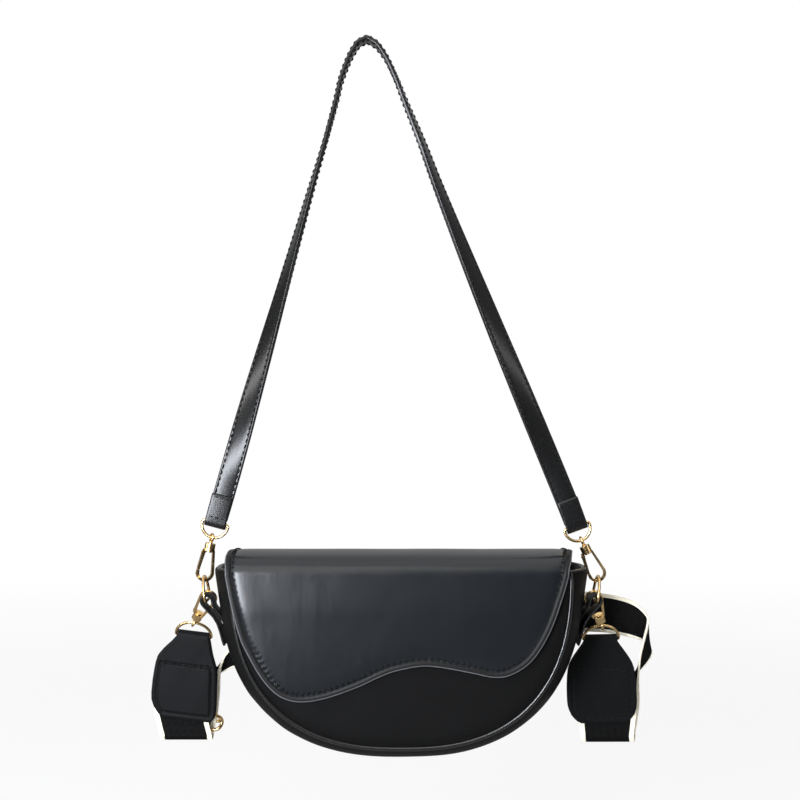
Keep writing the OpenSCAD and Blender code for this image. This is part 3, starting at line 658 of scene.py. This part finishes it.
# At the corners the way inward turns softly, over about 18 mm
SMOOTH_STEPS = 18 / 0.68
reach = np.exp(-(np.arange(-90, 91) / SMOOTH_STEPS) ** 2 / 2)
inward = unit_rows(np.stack([
    np.convolve(np.tile(inward[:, k], 3), reach / reach.sum(), "same")[len(closed):-len(closed)]
    for k in (0, 1)], 1))
if np.dot(inward[FRONT_POINTS // 2], (0, -1)) < 0:
    inward = -inward
along_edge = np.arange(len(closed)) * EDGE_STEP
# The thread pulls hardest round the wavy front, and hardly at the straight sides. Where that
# changes is counted in steps along the edge, from its nearer end
STRAIGHT, EASE, SEWN_EASE = 165, 60, 14
steps = np.minimum(np.arange(len(closed)), FRONT_POINTS - np.arange(len(closed)))
gathered = [0.12 + 0.88 * soft_step((k - STRAIGHT) / EASE) for k in steps]
sewn = np.clip(steps / SEWN_EASE, 0, 1)
BAND_MIDDLE, BAND_TO, GROOVE, PUCKER_AT = 1.9, 3.7, 4.0, 5.2


def edge_section(d, along, sewn, gathered):
    """The height of the leather at d from the edge: the rolled band, the groove and the pad."""
    band = 0.75 * math.sqrt(max(0, 1 - ((d - BAND_MIDDLE) / 1.95) ** 2)) - 0.25
    rise = -0.55 + 1.35 * (1 - math.exp(-max(0, d - GROOVE) / 2.2))
    height = band if d < BAND_TO else rise
    # Between two stitches the padded side is pulled into a notch, and at a stitch it swells
    gather = math.cos(2 * math.pi * along / PITCH)
    pucker = 0.3 * gather * math.exp(-((d - PUCKER_AT) / 1.2) ** 2)
    notch = 1.1 * max(0, -gather) ** 3 * math.exp(-((d - PUCKER_AT) / 1.3) ** 2)
    return sewn * (height + gathered * (pucker - notch)) + (1 - sewn) * AT_BACK


STEPS = [0, 0.35, 0.8, 1.4, 2.1, 2.8, 3.3, 3.65, 3.85, 4.1, 4.5, 5.0, 5.6, 6.3, 7.2, 8.4, 10, 12]
CENTRE = np.array([0.0, 100.0])
CREASED_X, CREASED_S = -38, 105
flat, rise = [], []
for share in np.linspace(0.02, 0.97, 40):
    flat.append(CENTRE + (closed + inward * STEPS[-1] - CENTRE) * share)
    rise.append([PADDED] * len(closed))
for d in reversed(STEPS):
    flat.append(closed + inward * d)
    rise.append([edge_section(d, *at) for at in zip(along_edge, sewn, gathered)])
flat, rise = np.array(flat), np.array(rise)
flap_grid = []
for row, heights in zip(flat, rise):
    points = []
    for (x, s), h in zip(row, heights):
        # The corner rolls on softly, and handling leaves slow swells, and creases lower left
        low = 1 / (1 + math.exp(-(s - CREASED_S) / 12)) * math.exp(-((x - CREASED_X) / 48) ** 2)
        roll = 2.2 * soft_step((s - FRONT_START + 14) / 40) - 0.9 * soft_step((s - 118) / 60) - 0.8
        h += roll + 0.2 * uneven((x, s, 3), 42) + 0.05 * low * uneven((x, s * 0.22, 8), 3.6)
        points.append(on_flap(x, max(s, 0), h))
    flap_grid.append(points)
FLAP_BLEND = ("flap_lid", "flap_fall", metres(0, -30.5, 9.7), metres(0, -40.2, -2))
flap = grid_mesh("flap_leather", in_bag(flap_grid), closed=True, capped=1, uv=flat)
# The rolled band is painted dull black and its outer corner light grey, a painted highlight, but
# not where it is sewn down
BAND_RINGS, HIGHLIGHT_RINGS = 9, 2
rings, around = len(flap_grid) - 1, len(closed)
for face in flap.data.polygons[(rings - BAND_RINGS) * around:rings * around]:
    if face.index % around < FRONT_POINTS - 1:
        face.material_index = 1 if face.index >= (rings - HIGHLIGHT_RINGS) * around else 2
dress(flap, [flap_leather, grey_edge_highlight, black_edge], thick=2.1, smooth=0, rim=1, blend=FLAP_BLEND,
      stands_for=["flap_top", "flap_front", "flap_rim"])

# %% [markdown]
# The lining sheet lies under the flap, a little inside its edge. It is wrapped over the same
# profile, so it follows every bend of the leather.

# %% Flap lining
CLOTH_IN, CLOTH_UNDER = 4.2, 1.9
cut = [CENTRE + (closed + inward * CLOTH_IN - CENTRE) * share
       for share in np.linspace(0.02, 1, 36)]
rows = [[on_flap(x, max(s, 0), -CLOTH_UNDER) for x, s in row] for row in cut]
dress(grid_mesh("flap_lining_cloth", in_bag(rows), closed=True, capped=1, uv=cut), lining_cloth,
      stands_for=["flap_top_lining", "flap_front_lining"], thick=0.7,
      smooth=0, blend=FLAP_BLEND)

# %% [markdown]
# Whipped stitches cross the groove at a slant. They are placed by the same flat drawing.

# %% Flap stitches
SEAM_IN, UNSEWN = 5.0, 12
edge_line = (closed + inward * SEAM_IN)[UNSEWN:FRONT_POINTS - UNSEWN]
seam = [on_flap(x, max(s, 0), 0.1) for x, s in edge_line]
outward = [(0, *flap_profile(max(s, 0))[1]) for x, s in edge_line]
dress(stitches("flap_edge_stitches", in_bag(seam), outward, PITCH, 2.5, 0.45,
               slant=math.radians(68)), nylon_thread, smooth=0, blend=FLAP_BLEND)

# %% [markdown]
# Behind the mouth the flap is sewn flat to the back panel. Its first centimetre stays with the
# pouch while the rest bends up with the lid.

# %% Back of the flap
BEND_R, BEND_Y, BEND_Z, BEND_TO = 10.27, 27.5, -4.39, 69.9
SEWN_HALF, SEWN_FROM, SEWN_SEAM = 111.2, -14, -11
rows = []
for z in np.linspace(SEWN_FROM, BEND_Z, 7)[:-1]:
    rows.append([(u * SEWN_HALF, BEND_Y + BEND_R, z) for u in np.linspace(-1, 1, 61)])
for degrees in np.linspace(0, BEND_TO, 9):
    a, share = math.radians(degrees), degrees / BEND_TO
    y, z = BEND_Y + BEND_R * math.cos(a), BEND_Z + BEND_R * math.sin(a)
    left, right = [SEWN_HALF + share * (plan_half(y, k) - SEWN_HALF) for k in (1, 2)]
    # The strip rises a little, so that it ends as high as the flap's sheet
    y, z = y + AT_BACK * share * math.cos(a), z + AT_BACK * share * math.sin(a)
    rows.append([(x, y, z) for x in np.linspace(-left, right, 61)])
dress(grid_mesh("flap_back_leather", in_bag(rows), flip=True), flap_leather,
      stands_for=["flap_back"], thick=2,
      blend=("pouch", "flap_lid", metres(0, 37.8, -6), metres(0, 31, 5.3)))
line = [(x, BEND_Y + BEND_R + 0.1, SEWN_SEAM) for x in np.linspace(-107, 107, 80)]
sew("flap_back_stitches", "pouch", in_bag(line), (0, 1, 0), 4.1, 2.9)

# %% [markdown]
# The shoulder strap is one band of folded leather. It hangs from a peg by its edge, and each
# leg turns slowly until its wide face looks forward. Twisting a flat mesh would shear it, so the
# rounded section is placed at every step along the leg with its own turn.

# %% Shoulder strap
STRAP_W, STRAP_T = 15, 3
LEGS = {-1: dict(name="left", bar=(-104.573, -332.060), end=(-104.159, -330.514), lean=15,
                 power=1.8, reach=1),
        1: dict(name="right", bar=(144.372, -334.391), end=(143.825, -332.887), lean=20,
                power=1.15, reach=2)}
# Shares of the drop, and of the way out that the left and the right leg have gone there
LEG_SHARES = np.array([
    (0, 0, 0), (0.008, 0.054, 0.033), (0.016, 0.076, 0.054), (0.041, 0.121, 0.094),
    (0.085, 0.174, 0.142), (0.127, 0.206, 0.18), (0.21, 0.277, 0.259), (0.293, 0.355, 0.331),
    (0.417, 0.469, 0.445), (0.584, 0.621, 0.603), (0.75, 0.773, 0.763), (0.916, 0.922, 0.922),
    (1, 1, 1)])
SEAM_AT, SEAM_UP = 0.375, 1.38


def leg_points(side):
    """The middle line (x, z) of one leg, and its turn in radians at each point."""
    leg = LEGS[side]
    shares = smooth_curve(LEG_SHARES[:, [0, leg["reach"]]], 8)
    x, z = leg["end"]
    turn = np.radians(90) * np.clip(shares[:, 0] / 0.91, 0, 1) ** leg["power"]
    return np.stack([x * shares[:, 1], STRAP_T / 2 + (z - STRAP_T / 2) * shares[:, 0]], 1), turn


left_line, left_turn = leg_points(-1)
right_line, right_turn = leg_points(1)
middle = np.vstack([left_line[::-1], right_line[1:]])
turns = np.concatenate([left_turn[::-1], right_turn[1:]])
ahead = unit_rows(np.gradient(middle, axis=0))
strap_out = np.stack([-ahead[:, 1], np.zeros(len(ahead)), ahead[:, 0]], 1)
face = strap_out * np.cos(turns)[:, None] - np.outer(np.sin(turns), (0, 1, 0))
wide = strap_out * np.sin(turns)[:, None] + np.outer(np.cos(turns), (0, 1, 0))
strap_mid = np.stack([middle[:, 0], 0.4 * np.sin(turns), middle[:, 1]], 1)


def strap_section():
    """Shares of width and thickness round the band: round edges, a groove at each seam."""
    top = [(-0.5, 0.30), (-0.487, 0.42), (-0.45, 0.49), (-0.40, 0.48), (-SEAM_AT, 0.45),
           (-0.35, 0.48), (-0.25, 0.53), (-0.1, 0.56)]
    top = top + [(-a, b) for a, b in reversed(top)]
    return top + [(-a, -b * 0.92) for a, b in top]


rows = []
for k in range(len(strap_mid)):
    swell = 1 + 0.03 * uneven(strap_mid[k], 40)
    rows.append([strap_mid[k] + wide[k] * a * STRAP_W + face[k] * b * STRAP_T * swell
                 for a, b in strap_section()])
dress(grid_mesh("shoulder_strap_leather", rows, closed=True, capped=2, flip=True), strap_leather,
      "carry_strap", ["shoulder_strap"])
for sign, seam in ((-1, "edge"), (1, "inner")):
    for side, layer in ((-1, "back"), (1, "front")):
        line = strap_mid + wide * sign * SEAM_AT * STRAP_W + face * side * SEAM_UP
        sew(f"strap_stitches_{seam}_{layer}", "carry_strap", line, face * side, 4.35, 2.9, 0.62)

# %% [markdown]
# Each end of the band is folded round the ring's bar and sewn down, with two lines of stitching
# across. The fold is drawn as one swept strip whose path goes up, round the bar and up again.

# %% Folded strap ends
BEND_IN, THICK = 1.9, 1.6
BEND_OUT = BEND_IN + THICK
ROUND_BAR = np.radians(np.arange(15, 166, 15))
path = [(-BEND_IN - THICK * (0.55 if z > 19.5 else 1), z) for z in (20, 19.2, 15, 10, 5, 0)]
path += [(-BEND_OUT * math.cos(t), -BEND_OUT * math.sin(t)) for t in ROUND_BAR]
path += [(BEND_OUT, 0), (BEND_OUT, 1.4)]
for side, leg in LEGS.items():
    name, a = leg["name"], math.radians(leg["lean"])
    bar = np.array([leg["bar"][0], 0, leg["bar"][1]])
    across = np.array([math.cos(a), 0, side * math.sin(a)])
    up = np.array([-side * math.sin(a), 0, math.cos(a)])
    rows = []
    for y, z in path:
        bow = 0.25 * (z > 1)
        rows.append([bar + across * u * (STRAP_W / 2 + 0.15) * (0.985 if abs(u) == 1 else 1)
                     + np.array([0, y - bow * (1 - u * u), 0]) + up * z
                     for u in np.linspace(-1, 1, 13)])
    dress(grid_mesh(f"strap_end_{name}_leather", rows), [strap_leather, black_edge], "carry_strap",
          [f"strap_end_{name}"], thick=THICK, rim=1)
    for height in (3.8, 17.6):
        line = [bar + across * x + up * height + np.array([0, -BEND_IN - THICK - 0.25, 0])
                for x in np.linspace(-5.6, 5.6, 12)]
        sew(f"strap_end_{name}_stitches_{round(height)}", "carry_strap", line, (0, -1, 0), 3.6,
            2.7, 0.36)

# %% [markdown]
# A side tab is a leather loop through the bag's ring whose two ends are sewn onto the gusset.

# %% Side tabs
def gusset_crown(drop):
    """How far the gusset's middle line stands out at that drop under the mouth."""
    a, b = HALF_W + SWELL, DROP + SWELL
    x = a * max(0, 1 - (drop / b) ** 2.5) ** 0.4
    return x + FLARE * max(0, 1 - drop / FLARE_DROP) ** 2


RING_BAR, BAR_OUT, TAB_HALF, TAB_SEAM = np.array([HALF_W + 22.204, -23.3]), 3, 8.0, 6.2
TABS_AT = [BAG[0], 0, BAG[2]]
# Up the outer layer, round the ring's bar and down again on the gusset, in points (out, up)
path = [(gusset_crown(d) + lift, -d)
        for d, lift in ((53.6, 3.3), (50, 3.6), (44, 3.8), (38, 4.8))]
path += [(128.3, -33.2), (131.9, -29.6)]
path += [RING_BAR + np.array([BAR_OUT * math.sin(t), BAR_OUT * math.cos(t)])
         for t in np.radians(np.arange(118, -100, -18))]
path += [(129.5, -28.3), (125.9, -32.3), (gusset_crown(38) + 1.9, -38)]
path += [(gusset_crown(d) + 0.35, -d) for d in (43, 48, 53)]
path = even_points(path, 64)
for side, name in ((-1, "left"), (1, "right")):
    rows = [[(side * (x - 0.35 * (abs(u) == 1)), u * TAB_HALF, z) for u in np.linspace(-1, 1, 11)]
            for x, z in path]
    dress(grid_mesh(f"side_tab_{name}_leather", np.array(rows) + TABS_AT, flip=side < 0),
          [pouch_leather, black_edge], "pouch", [f"side_tab_{name}"], thick=1.8, rim=1)
    for edge, part in ((-1, "front"), (1, "back")):
        line = [(side * (gusset_crown(d) + 3.95), edge * TAB_SEAM, -d)
                for d in np.linspace(40, 51.5, 14)]
        sew(f"side_tab_{name}_stitches_{part}", "pouch", np.array(line) + TABS_AT, (side, 0, 0),
            3.4, 2.4, 0.36)

# %% [markdown]
# The second strap is wide webbing. It hangs from a leather pad at each side, folds upward at the
# bottom and crosses behind the bag. A cloth simulation could find such a lazy loop, but here the
# photograph shows where both edges run, so the ribbon is ruled between two drawn edge lines.

# %% Webbing
WEB_W, PAD_Y, BACK_Y, FOLD_Z, FOLD_DEEP, SELVEDGE = 38, 32.5, 42.1, -123.5, 4.8, 3


def fold_rows(left_a, left_b, right_a, right_b):
    """The bottom fold: half a turn from the front layer to the back one."""
    rows = []
    for k in range(7):
        t = math.pi * k / 6
        share = (1 - math.cos(t)) / 2
        y = PAD_Y + (BACK_Y - PAD_Y) * share
        drop = FOLD_Z - FOLD_DEEP * math.sin(t)
        rows.append((left_a + (right_a - left_a) * share, y, drop,
                     left_b + (right_b - left_b) * share, y, drop))
    return rows


# Each row holds a point of the left edge and one of the right edge
WEB_EDGES = [(left, PAD_Y, z, right, PAD_Y, z) for left, right, z in (
    (-169.5, -133.0, -78), (-174.5, -136.8, -92), (-176.4, -138.6, -104), (-174.6, -137.4, -114))]
WEB_EDGES += fold_rows(-172.2, -135.0, -172.4, -134.4)
WEB_EDGES += [(-172.6, BACK_Y, -112, -131.6, BACK_Y, -110), (-170, 43.5, -101, -129.9, 41.5, -94),
              (-158, 46.0, -92, -129.2, 40.2, -81), (-138, 46.5, -86.5, -127.6, 40.0, -73.5),
              (-118, 45.0, -77, -122.2, 40.8, -63.6), (-92, 43.0, -72, -100, 41.4, -53),
              (-55.7, 42.6, -78, -55.7, 42.0, -42), (0, 42.6, -70, 0, 42.0, -33),
              (60, 42.6, -60, 60, 42.0, -26), (110, 43.0, -53, 110, 41.6, -22.5),
              (140, 43.8, -52.5, 142.9, 40.9, -24.1), (155.7, 44.5, -54.6, 165, 40.2, -29.1),
              (172.2, 46.5, -58.9, 175.2, 40.0, -37.7), (178.8, 49.0, -64.5, 175.9, 39.8, -45),
              (180.4, 50.5, -70.5, 172.6, 39.6, -58), (174, 50.0, -78.5, 170.2, 39.8, -70),
              (158, 47.0, -91, 170.5, 40.4, -84), (140, 43.8, -106, 171.4, 41.4, -102),
              (131.2, 42.4, -116, 170.3, BACK_Y, -114)]
WEB_EDGES += reversed(fold_rows(127.4, 165.6, 130.4, 168.6))
WEB_EDGES += [(left, PAD_Y, z, right, PAD_Y, z) for left, right, z in (
    (126.2, 166.8, -114), (125.0, 167.0, -104), (124.4, 162.6, -92), (124.0, 161.6, -78))]
edges = smooth_curve(WEB_EDGES, 5)
WEB_ACROSS = np.array([0, 0.03, 0.06, 0.095, 0.12, 0.2, 0.3, 0.4, 0.5, 0.6, 0.7, 0.8, 0.88,
                       0.905, 0.94, 0.97, 1])
rows = [[row[:3] + (row[3:] - row[:3]) * u
         + np.array([0, 0.25 * uneven((row[0], u * 30, row[2]), 18), 0])
         for u in WEB_ACROSS] for row in edges]
run = lengths_along(edges[:, :3] + edges[:, 3:]) / 2
uv = np.stack(np.meshgrid(WEB_ACROSS * WEB_W, run), 2)
webbing = grid_mesh("nylon_webbing", in_bag(rows), uv=uv)
columns = len(WEB_ACROSS) - 1
for face in webbing.data.polygons:
    column = face.index % columns
    face.material_index = int(column < SELVEDGE or column >= columns - SELVEDGE)
dress(webbing, [black_webbing, cream_webbing], "web_strap", ["webbing"],
      thick=1.5)

# %% [markdown]
# A pad is one leather strip folded over the ring's bar with the webbing sewn between its two
# layers. Round the seam the leather sinks, and inside it the layers swell into a raised patch.

# %% Pads
PAD_LONG, TONGUE_HALF, PAD_OUT = 59.4, 11.3, 3.2
# The way down the pad, and how far it reaches to the left and to the right of its middle
PAD_EDGES = {
    "left": np.array([
        (0, TONGUE_HALF, TONGUE_HALF), (2, 12.6, 12.0), (6, 15.6, 13.2), (11, 20.0, 14.6),
        (16, 23.2, 16.6), (21, 24.2, 18.8), (26, 24.6, 19.9), (34, 24.9, 20.6), (43, 24.7, 21.5),
        (48, 24.0, 22.0), (53, 21.6, 22.2), (56.5, 18.6, 21.8), (58.5, 16.6, 20.4),
        (PAD_LONG, 14.6, 18.4)]),
    "right": np.array([
        (0, TONGUE_HALF, TONGUE_HALF), (1.5, 11.7, 11.7), (4, 13.4, 13.4), (11, 18.6, 18.4),
        (16, 21.8, 21.4), (20, 23.4, 22.8), (26, 24.2, 23.8), (34, 24.6, 24.4), (44, 24.5, 24.6),
        (49, 23.9, 24.2), (53, 22.4, 22.8), (56, 20.0, 20.6), (58.3, 17.4, 17.8),
        (PAD_LONG, 15.0, 15.4)])}
PATCH_TOP, PATCH_IN, PUCKER_PITCH = 20.8, 3.6, 3.7


def pad_reach(name, t):
    edges = PAD_EDGES[name]
    return [np.interp(t, edges[:, 0], edges[:, k]) for k in (1, 2)]


def pad_relief(name, t, x, puckers):
    """How far the front layer stands out at x and t: the seam's groove and the patch inside."""
    left, right = pad_reach(name, t)
    side, bottom = min(x + left, right - x), PAD_LONG - t
    border = min(side, bottom, (side + bottom) * 0.72)
    inside = soft_step((border - PATCH_IN) / 1.6)
    patch = inside * soft_step((t - PATCH_TOP) / 1.5)
    seam = math.exp(-((border - PATCH_IN) / 0.7) ** 2) * soft_step((t - PATCH_TOP + 1) / 1)
    top_seam = math.exp(-((t - PATCH_TOP) / 0.8) ** 2) * soft_step((side - 2.5) / 1.5)
    waves = math.cos(2 * math.pi * x / PUCKER_PITCH)
    gather = 0.22 * puckers * waves * math.exp(-((t - PATCH_TOP) / 1.9) ** 2)
    edge = -0.45 * (1 - soft_step(border / 1.2))
    sewn = 0.55 * patch - 0.45 * seam - 0.4 * top_seam + gather * soft_step((side - 3) / 2)
    return 0.25 + edge + sewn * max(puckers, 0.3) + 0.15 * uneven((x, 5, t), 16)


ACROSS = np.sin(np.linspace(-1, 1, 57) * math.pi / 2 * 0.94) / math.sin(math.pi / 2 * 0.94)
DOWN = np.concatenate([np.arange(0, 18, 1.5), np.arange(18, 24, 0.45), np.arange(24.5, 52, 1.3),
                       np.arange(52, 58.9, 0.55), [59.1, PAD_LONG]])


def pad_across(name, t):
    left, right = pad_reach(name, t)
    return (right - left) / 2 + ACROSS * (left + right) / 2


PADS = {"left": dict(side=-1, lean=7, bar=(-124.273, 31.90, -415.213), puckers=1.0),
        "right": dict(side=1, lean=1, bar=(165.554, 31.90, -417.495), puckers=0.15)}
for name, pad in PADS.items():
    a = math.radians(pad["lean"])
    bar = np.array(pad["bar"])
    across = np.array([math.cos(a), 0, pad["side"] * math.sin(a)])
    down = np.array([pad["side"] * math.sin(a), 0, -math.cos(a)])
    # Up the front layer, round the bar and down the back layer
    rows = [[bar + across * x + down * t
             - np.array([0, PAD_OUT + pad_relief(name, t, x, pad["puckers"]), 0])
             for x in pad_across(name, t)] for t in reversed(DOWN)]
    rows += [[bar + across * u * TONGUE_HALF - down * 3.4 * math.sin(t)
              - np.array([0, 3.45 * math.cos(t), 0]) for u in ACROSS]
             for t in ROUND_BAR]
    rows += [[bar + across * x + down * t + np.array([0, PAD_OUT, 0])
              for x in pad_across(name, t)] for t in [*np.arange(0, 58, 3), PAD_LONG]]
    dress(grid_mesh(f"webbing_pad_{name}_leather", rows, flip=True), [pad_leather, black_edge],
          "web_strap", [f"webbing_pad_{name}"], thick=1.7, smooth=0, rim=1)
    left, right = pad_reach(name, PATCH_TOP)
    line = [bar + across * x + down * PATCH_TOP - np.array([0, PAD_OUT, 0])
            for x in np.linspace(-left + 4, right - 4, 30)]
    sew(f"webbing_pad_{name}_top_stitches", "web_strap", line, (0, -1, 0), 4.6, 3.0, 0.5)
    sides = [(t, *pad_reach(name, t)) for t in np.arange(22, 51, 2)]
    around = [(right - PATCH_IN, t) for t, left, right in sides]
    low_left, low_right = sides[-1][1:]
    around += [(low_right - 6.2, 53.6), (low_right - 10, 55.6), (0, 55.8),
               (-low_left + 10, 55.6), (-low_left + 6.2, 53.6)]
    around += [(-left + PATCH_IN, t) for t, left, right in reversed(sides)]
    line = [bar + across * x + down * t - np.array([0, PAD_OUT - 0.1, 0])
            for x, t in smooth_curve(around, 3)]
    sew(f"webbing_pad_{name}_stitches", "web_strap", line, (0, -1, 0), 4.2, 2.9)

# %% [markdown]
# The slider is a cast loop with a bar across its middle: the webbing passes over the bar and under
# both long sides. The frame keeps it square and plain, while the real one has round ends and round
# rods, so it is swept here along a rounded loop, with the bar as a second rod.

# %% Slider
slider_low, slider_high = size_of("slider")
ROD, LOOP_LONG, LOOP_TALL, ROD_OUT = 1.35, 23.2, 6.6, 2.5
slider_at = (slider_low + slider_high) / 2 + np.array([3.0, 0, 1.0])


def slider_bow(x, way):
    """How far a rod stands off the webbing's middle: fully over it, and nothing at the ends."""
    return way * ROD_OUT * (1 - soft_step((abs(x) - 19.6) / 2.6))


end_r = LOOP_TALL - ROD
loop = [(s * (LOOP_LONG - LOOP_TALL + end_r * math.sin(a)), s * end_r * math.cos(a))
        for s in (1, -1) for a in np.radians(np.arange(0, 181, 15))]
loop = even_points(loop + loop[:1], 120)[:-1]
loop = [np.array([x, slider_bow(x, -1), z]) + slider_at for x, z in loop]
rows = []
for k, point in enumerate(loop):
    t = loop[(k + 1) % len(loop)] - loop[k - 1]
    t /= np.linalg.norm(t)
    side = np.cross(t, (0, 1, 0))
    side /= np.linalg.norm(side)
    up = np.cross(side, t)
    rows.append([point + ROD * (side * math.cos(a) + up * math.sin(a))
                 for a in np.radians(np.arange(0, 360, 36))])
dress(grid_mesh("slider_loop", rows + rows[:1], closed=True), gold, "web_slider", ["slider"])
line = [np.array([x, slider_bow(x, 1), 0]) + slider_at
        for x in np.linspace(-1, 1, 41) * (LOOP_LONG - ROD)]
dress(tube("slider_bar", line, ROD), gold, "web_slider")

# %% [markdown]
# The studio is a plain pale floor and soft lights. A white backdrop could be a lit wall, but that
# would flood the black leather, so the world is white only to the camera. Dull surfaces get a low
# even fill from it, and mirror-like ones see a room, pale behind and above, dark in front.

# %% Studio
FILL = 0.3
world = bpy.data.worlds.new("studio")
bpy.context.scene.world = world
world.use_nodes = True
tree = world.node_tree
backdrop = tree.nodes["Background"]
rays = add(tree, "LightPath")
seen = add(tree, "Math", {0: rays.outputs["Is Camera Ray"],
                          1: rays.outputs["Is Transmission Ray"]}, operation="MAXIMUM")
# The room's tone runs from dark to pale with the direction that a mirror-like part looks in
way = add(tree, "SeparateXYZ", {"Vector": add(tree, "TexCoord").outputs["Generated"]})
behind = stretch(tree, way.outputs["Y"], 0.3, 0.9, 0.01, 0.45, "SMOOTHSTEP")
above = stretch(tree, way.outputs["Z"], 0.15, 0.9, 0.01, 0.9, "SMOOTHSTEP")
room = add(tree, "Math", {0: behind, 1: above}, operation="MAXIMUM")
fill = add(tree, "Mix", {"Factor": rays.outputs["Is Glossy Ray"], "A": FILL, "B": room.outputs[0]})
tone = add(tree, "Math", {0: fill.outputs[0], 1: seen.outputs[0]}, operation="MAXIMUM")
tree.links.new(tone.outputs[0], backdrop.inputs["Color"])
backdrop.inputs["Strength"].default_value = 1

bpy.context.scene.view_settings.view_transform = "Standard"


def softbox(name, place, target, wide, tall, watts, tint="#FFFFFF"):
    light = new_object(name, bpy.data.lights.new(name, "AREA"))
    light.data.shape, light.data.size, light.data.size_y = "RECTANGLE", wide, tall
    light.data.energy, light.data.color = watts, colour(tint)[:3]
    light.location = place
    light.rotation_euler = (Vector(target) - Vector(place)).to_track_quat("-Z", "Y").to_euler()


softbox("softbox_high", (-0.8, -1.6, 1.0), (0.02, 0, -0.35), 2.0, 1.6, 20)
softbox("softbox_key", (-0.58, -1.4, -0.22), (-0.05, 0, -0.4), 0.36, 0.74, 29, "#F2F6FF")
softbox("softbox_top", (0.0, -0.2, 1.2), (0.02, 0, -0.35), 1.2, 1.4, 3)
softbox("softbox_left", (-1.5, -0.5, -0.15), (-0.1, 0, -0.3), 0.3, 1.2, 10)
softbox("softbox_right", (1.5, -0.9, -0.1), (0.1, 0, -0.4), 0.25, 1.2, 4)

# The floor looks nearly white, and the rest of its tone is lit paper that keeps the shadow
FLOOR_Z, FLOOR_HALF, FLOOR_WHITE, FLOOR_MIRRORED = -0.60, 4.5, 0.85, 0.3
floor_mesh = bpy.data.meshes.new("studio_floor")
spans = np.linspace(-FLOOR_HALF, FLOOR_HALF, 7)
floor_mesh.from_pydata([(x, y, FLOOR_Z) for x in spans for y in spans], [],
                       grid_faces(len(spans), len(spans), False, 0))
floor = new_object("studio_floor", floor_mesh)
paper, tree, shader = new_finish("matt_studio_paper", "#F2F2F2", Roughness=0.9)
rays = add(tree, "LightPath")
where = add(tree, "TexCoord").outputs["Object"]
away = add(tree, "VectorMath", {0: where}, operation="LENGTH")
far = stretch(tree, away.outputs["Value"], 0.8, 2.2, FLOOR_WHITE, 1.0, "SMOOTHSTEP")
share = add(tree, "Mix", {"Factor": rays.outputs["Is Camera Ray"],
                          "A": rays.outputs["Is Glossy Ray"], "B": far})
# Mirror-like parts show it pale under the bag and dark in front of it, like the room
depth = add(tree, "SeparateXYZ", {"Vector": where}).outputs["Y"]
mirrored = stretch(tree, depth, -0.6, -0.4, 0.01, FLOOR_MIRRORED)
tone = add(tree, "Mix", {"Factor": rays.outputs["Is Camera Ray"], "A": mirrored, "B": 1.0})
white = add(tree, "Emission", {"Color": (1, 1, 1, 1), "Strength": tone.outputs[0]})
blank = add(tree, "MixShader", {"Fac": share.outputs[0]})
tree.links.new(shader.outputs[0], blank.inputs[1])
tree.links.new(white.outputs[0], blank.inputs[2])
tree.links.new(blank.outputs[0], tree.nodes["Material Output"].inputs["Surface"])
floor_mesh.materials.append(paper)
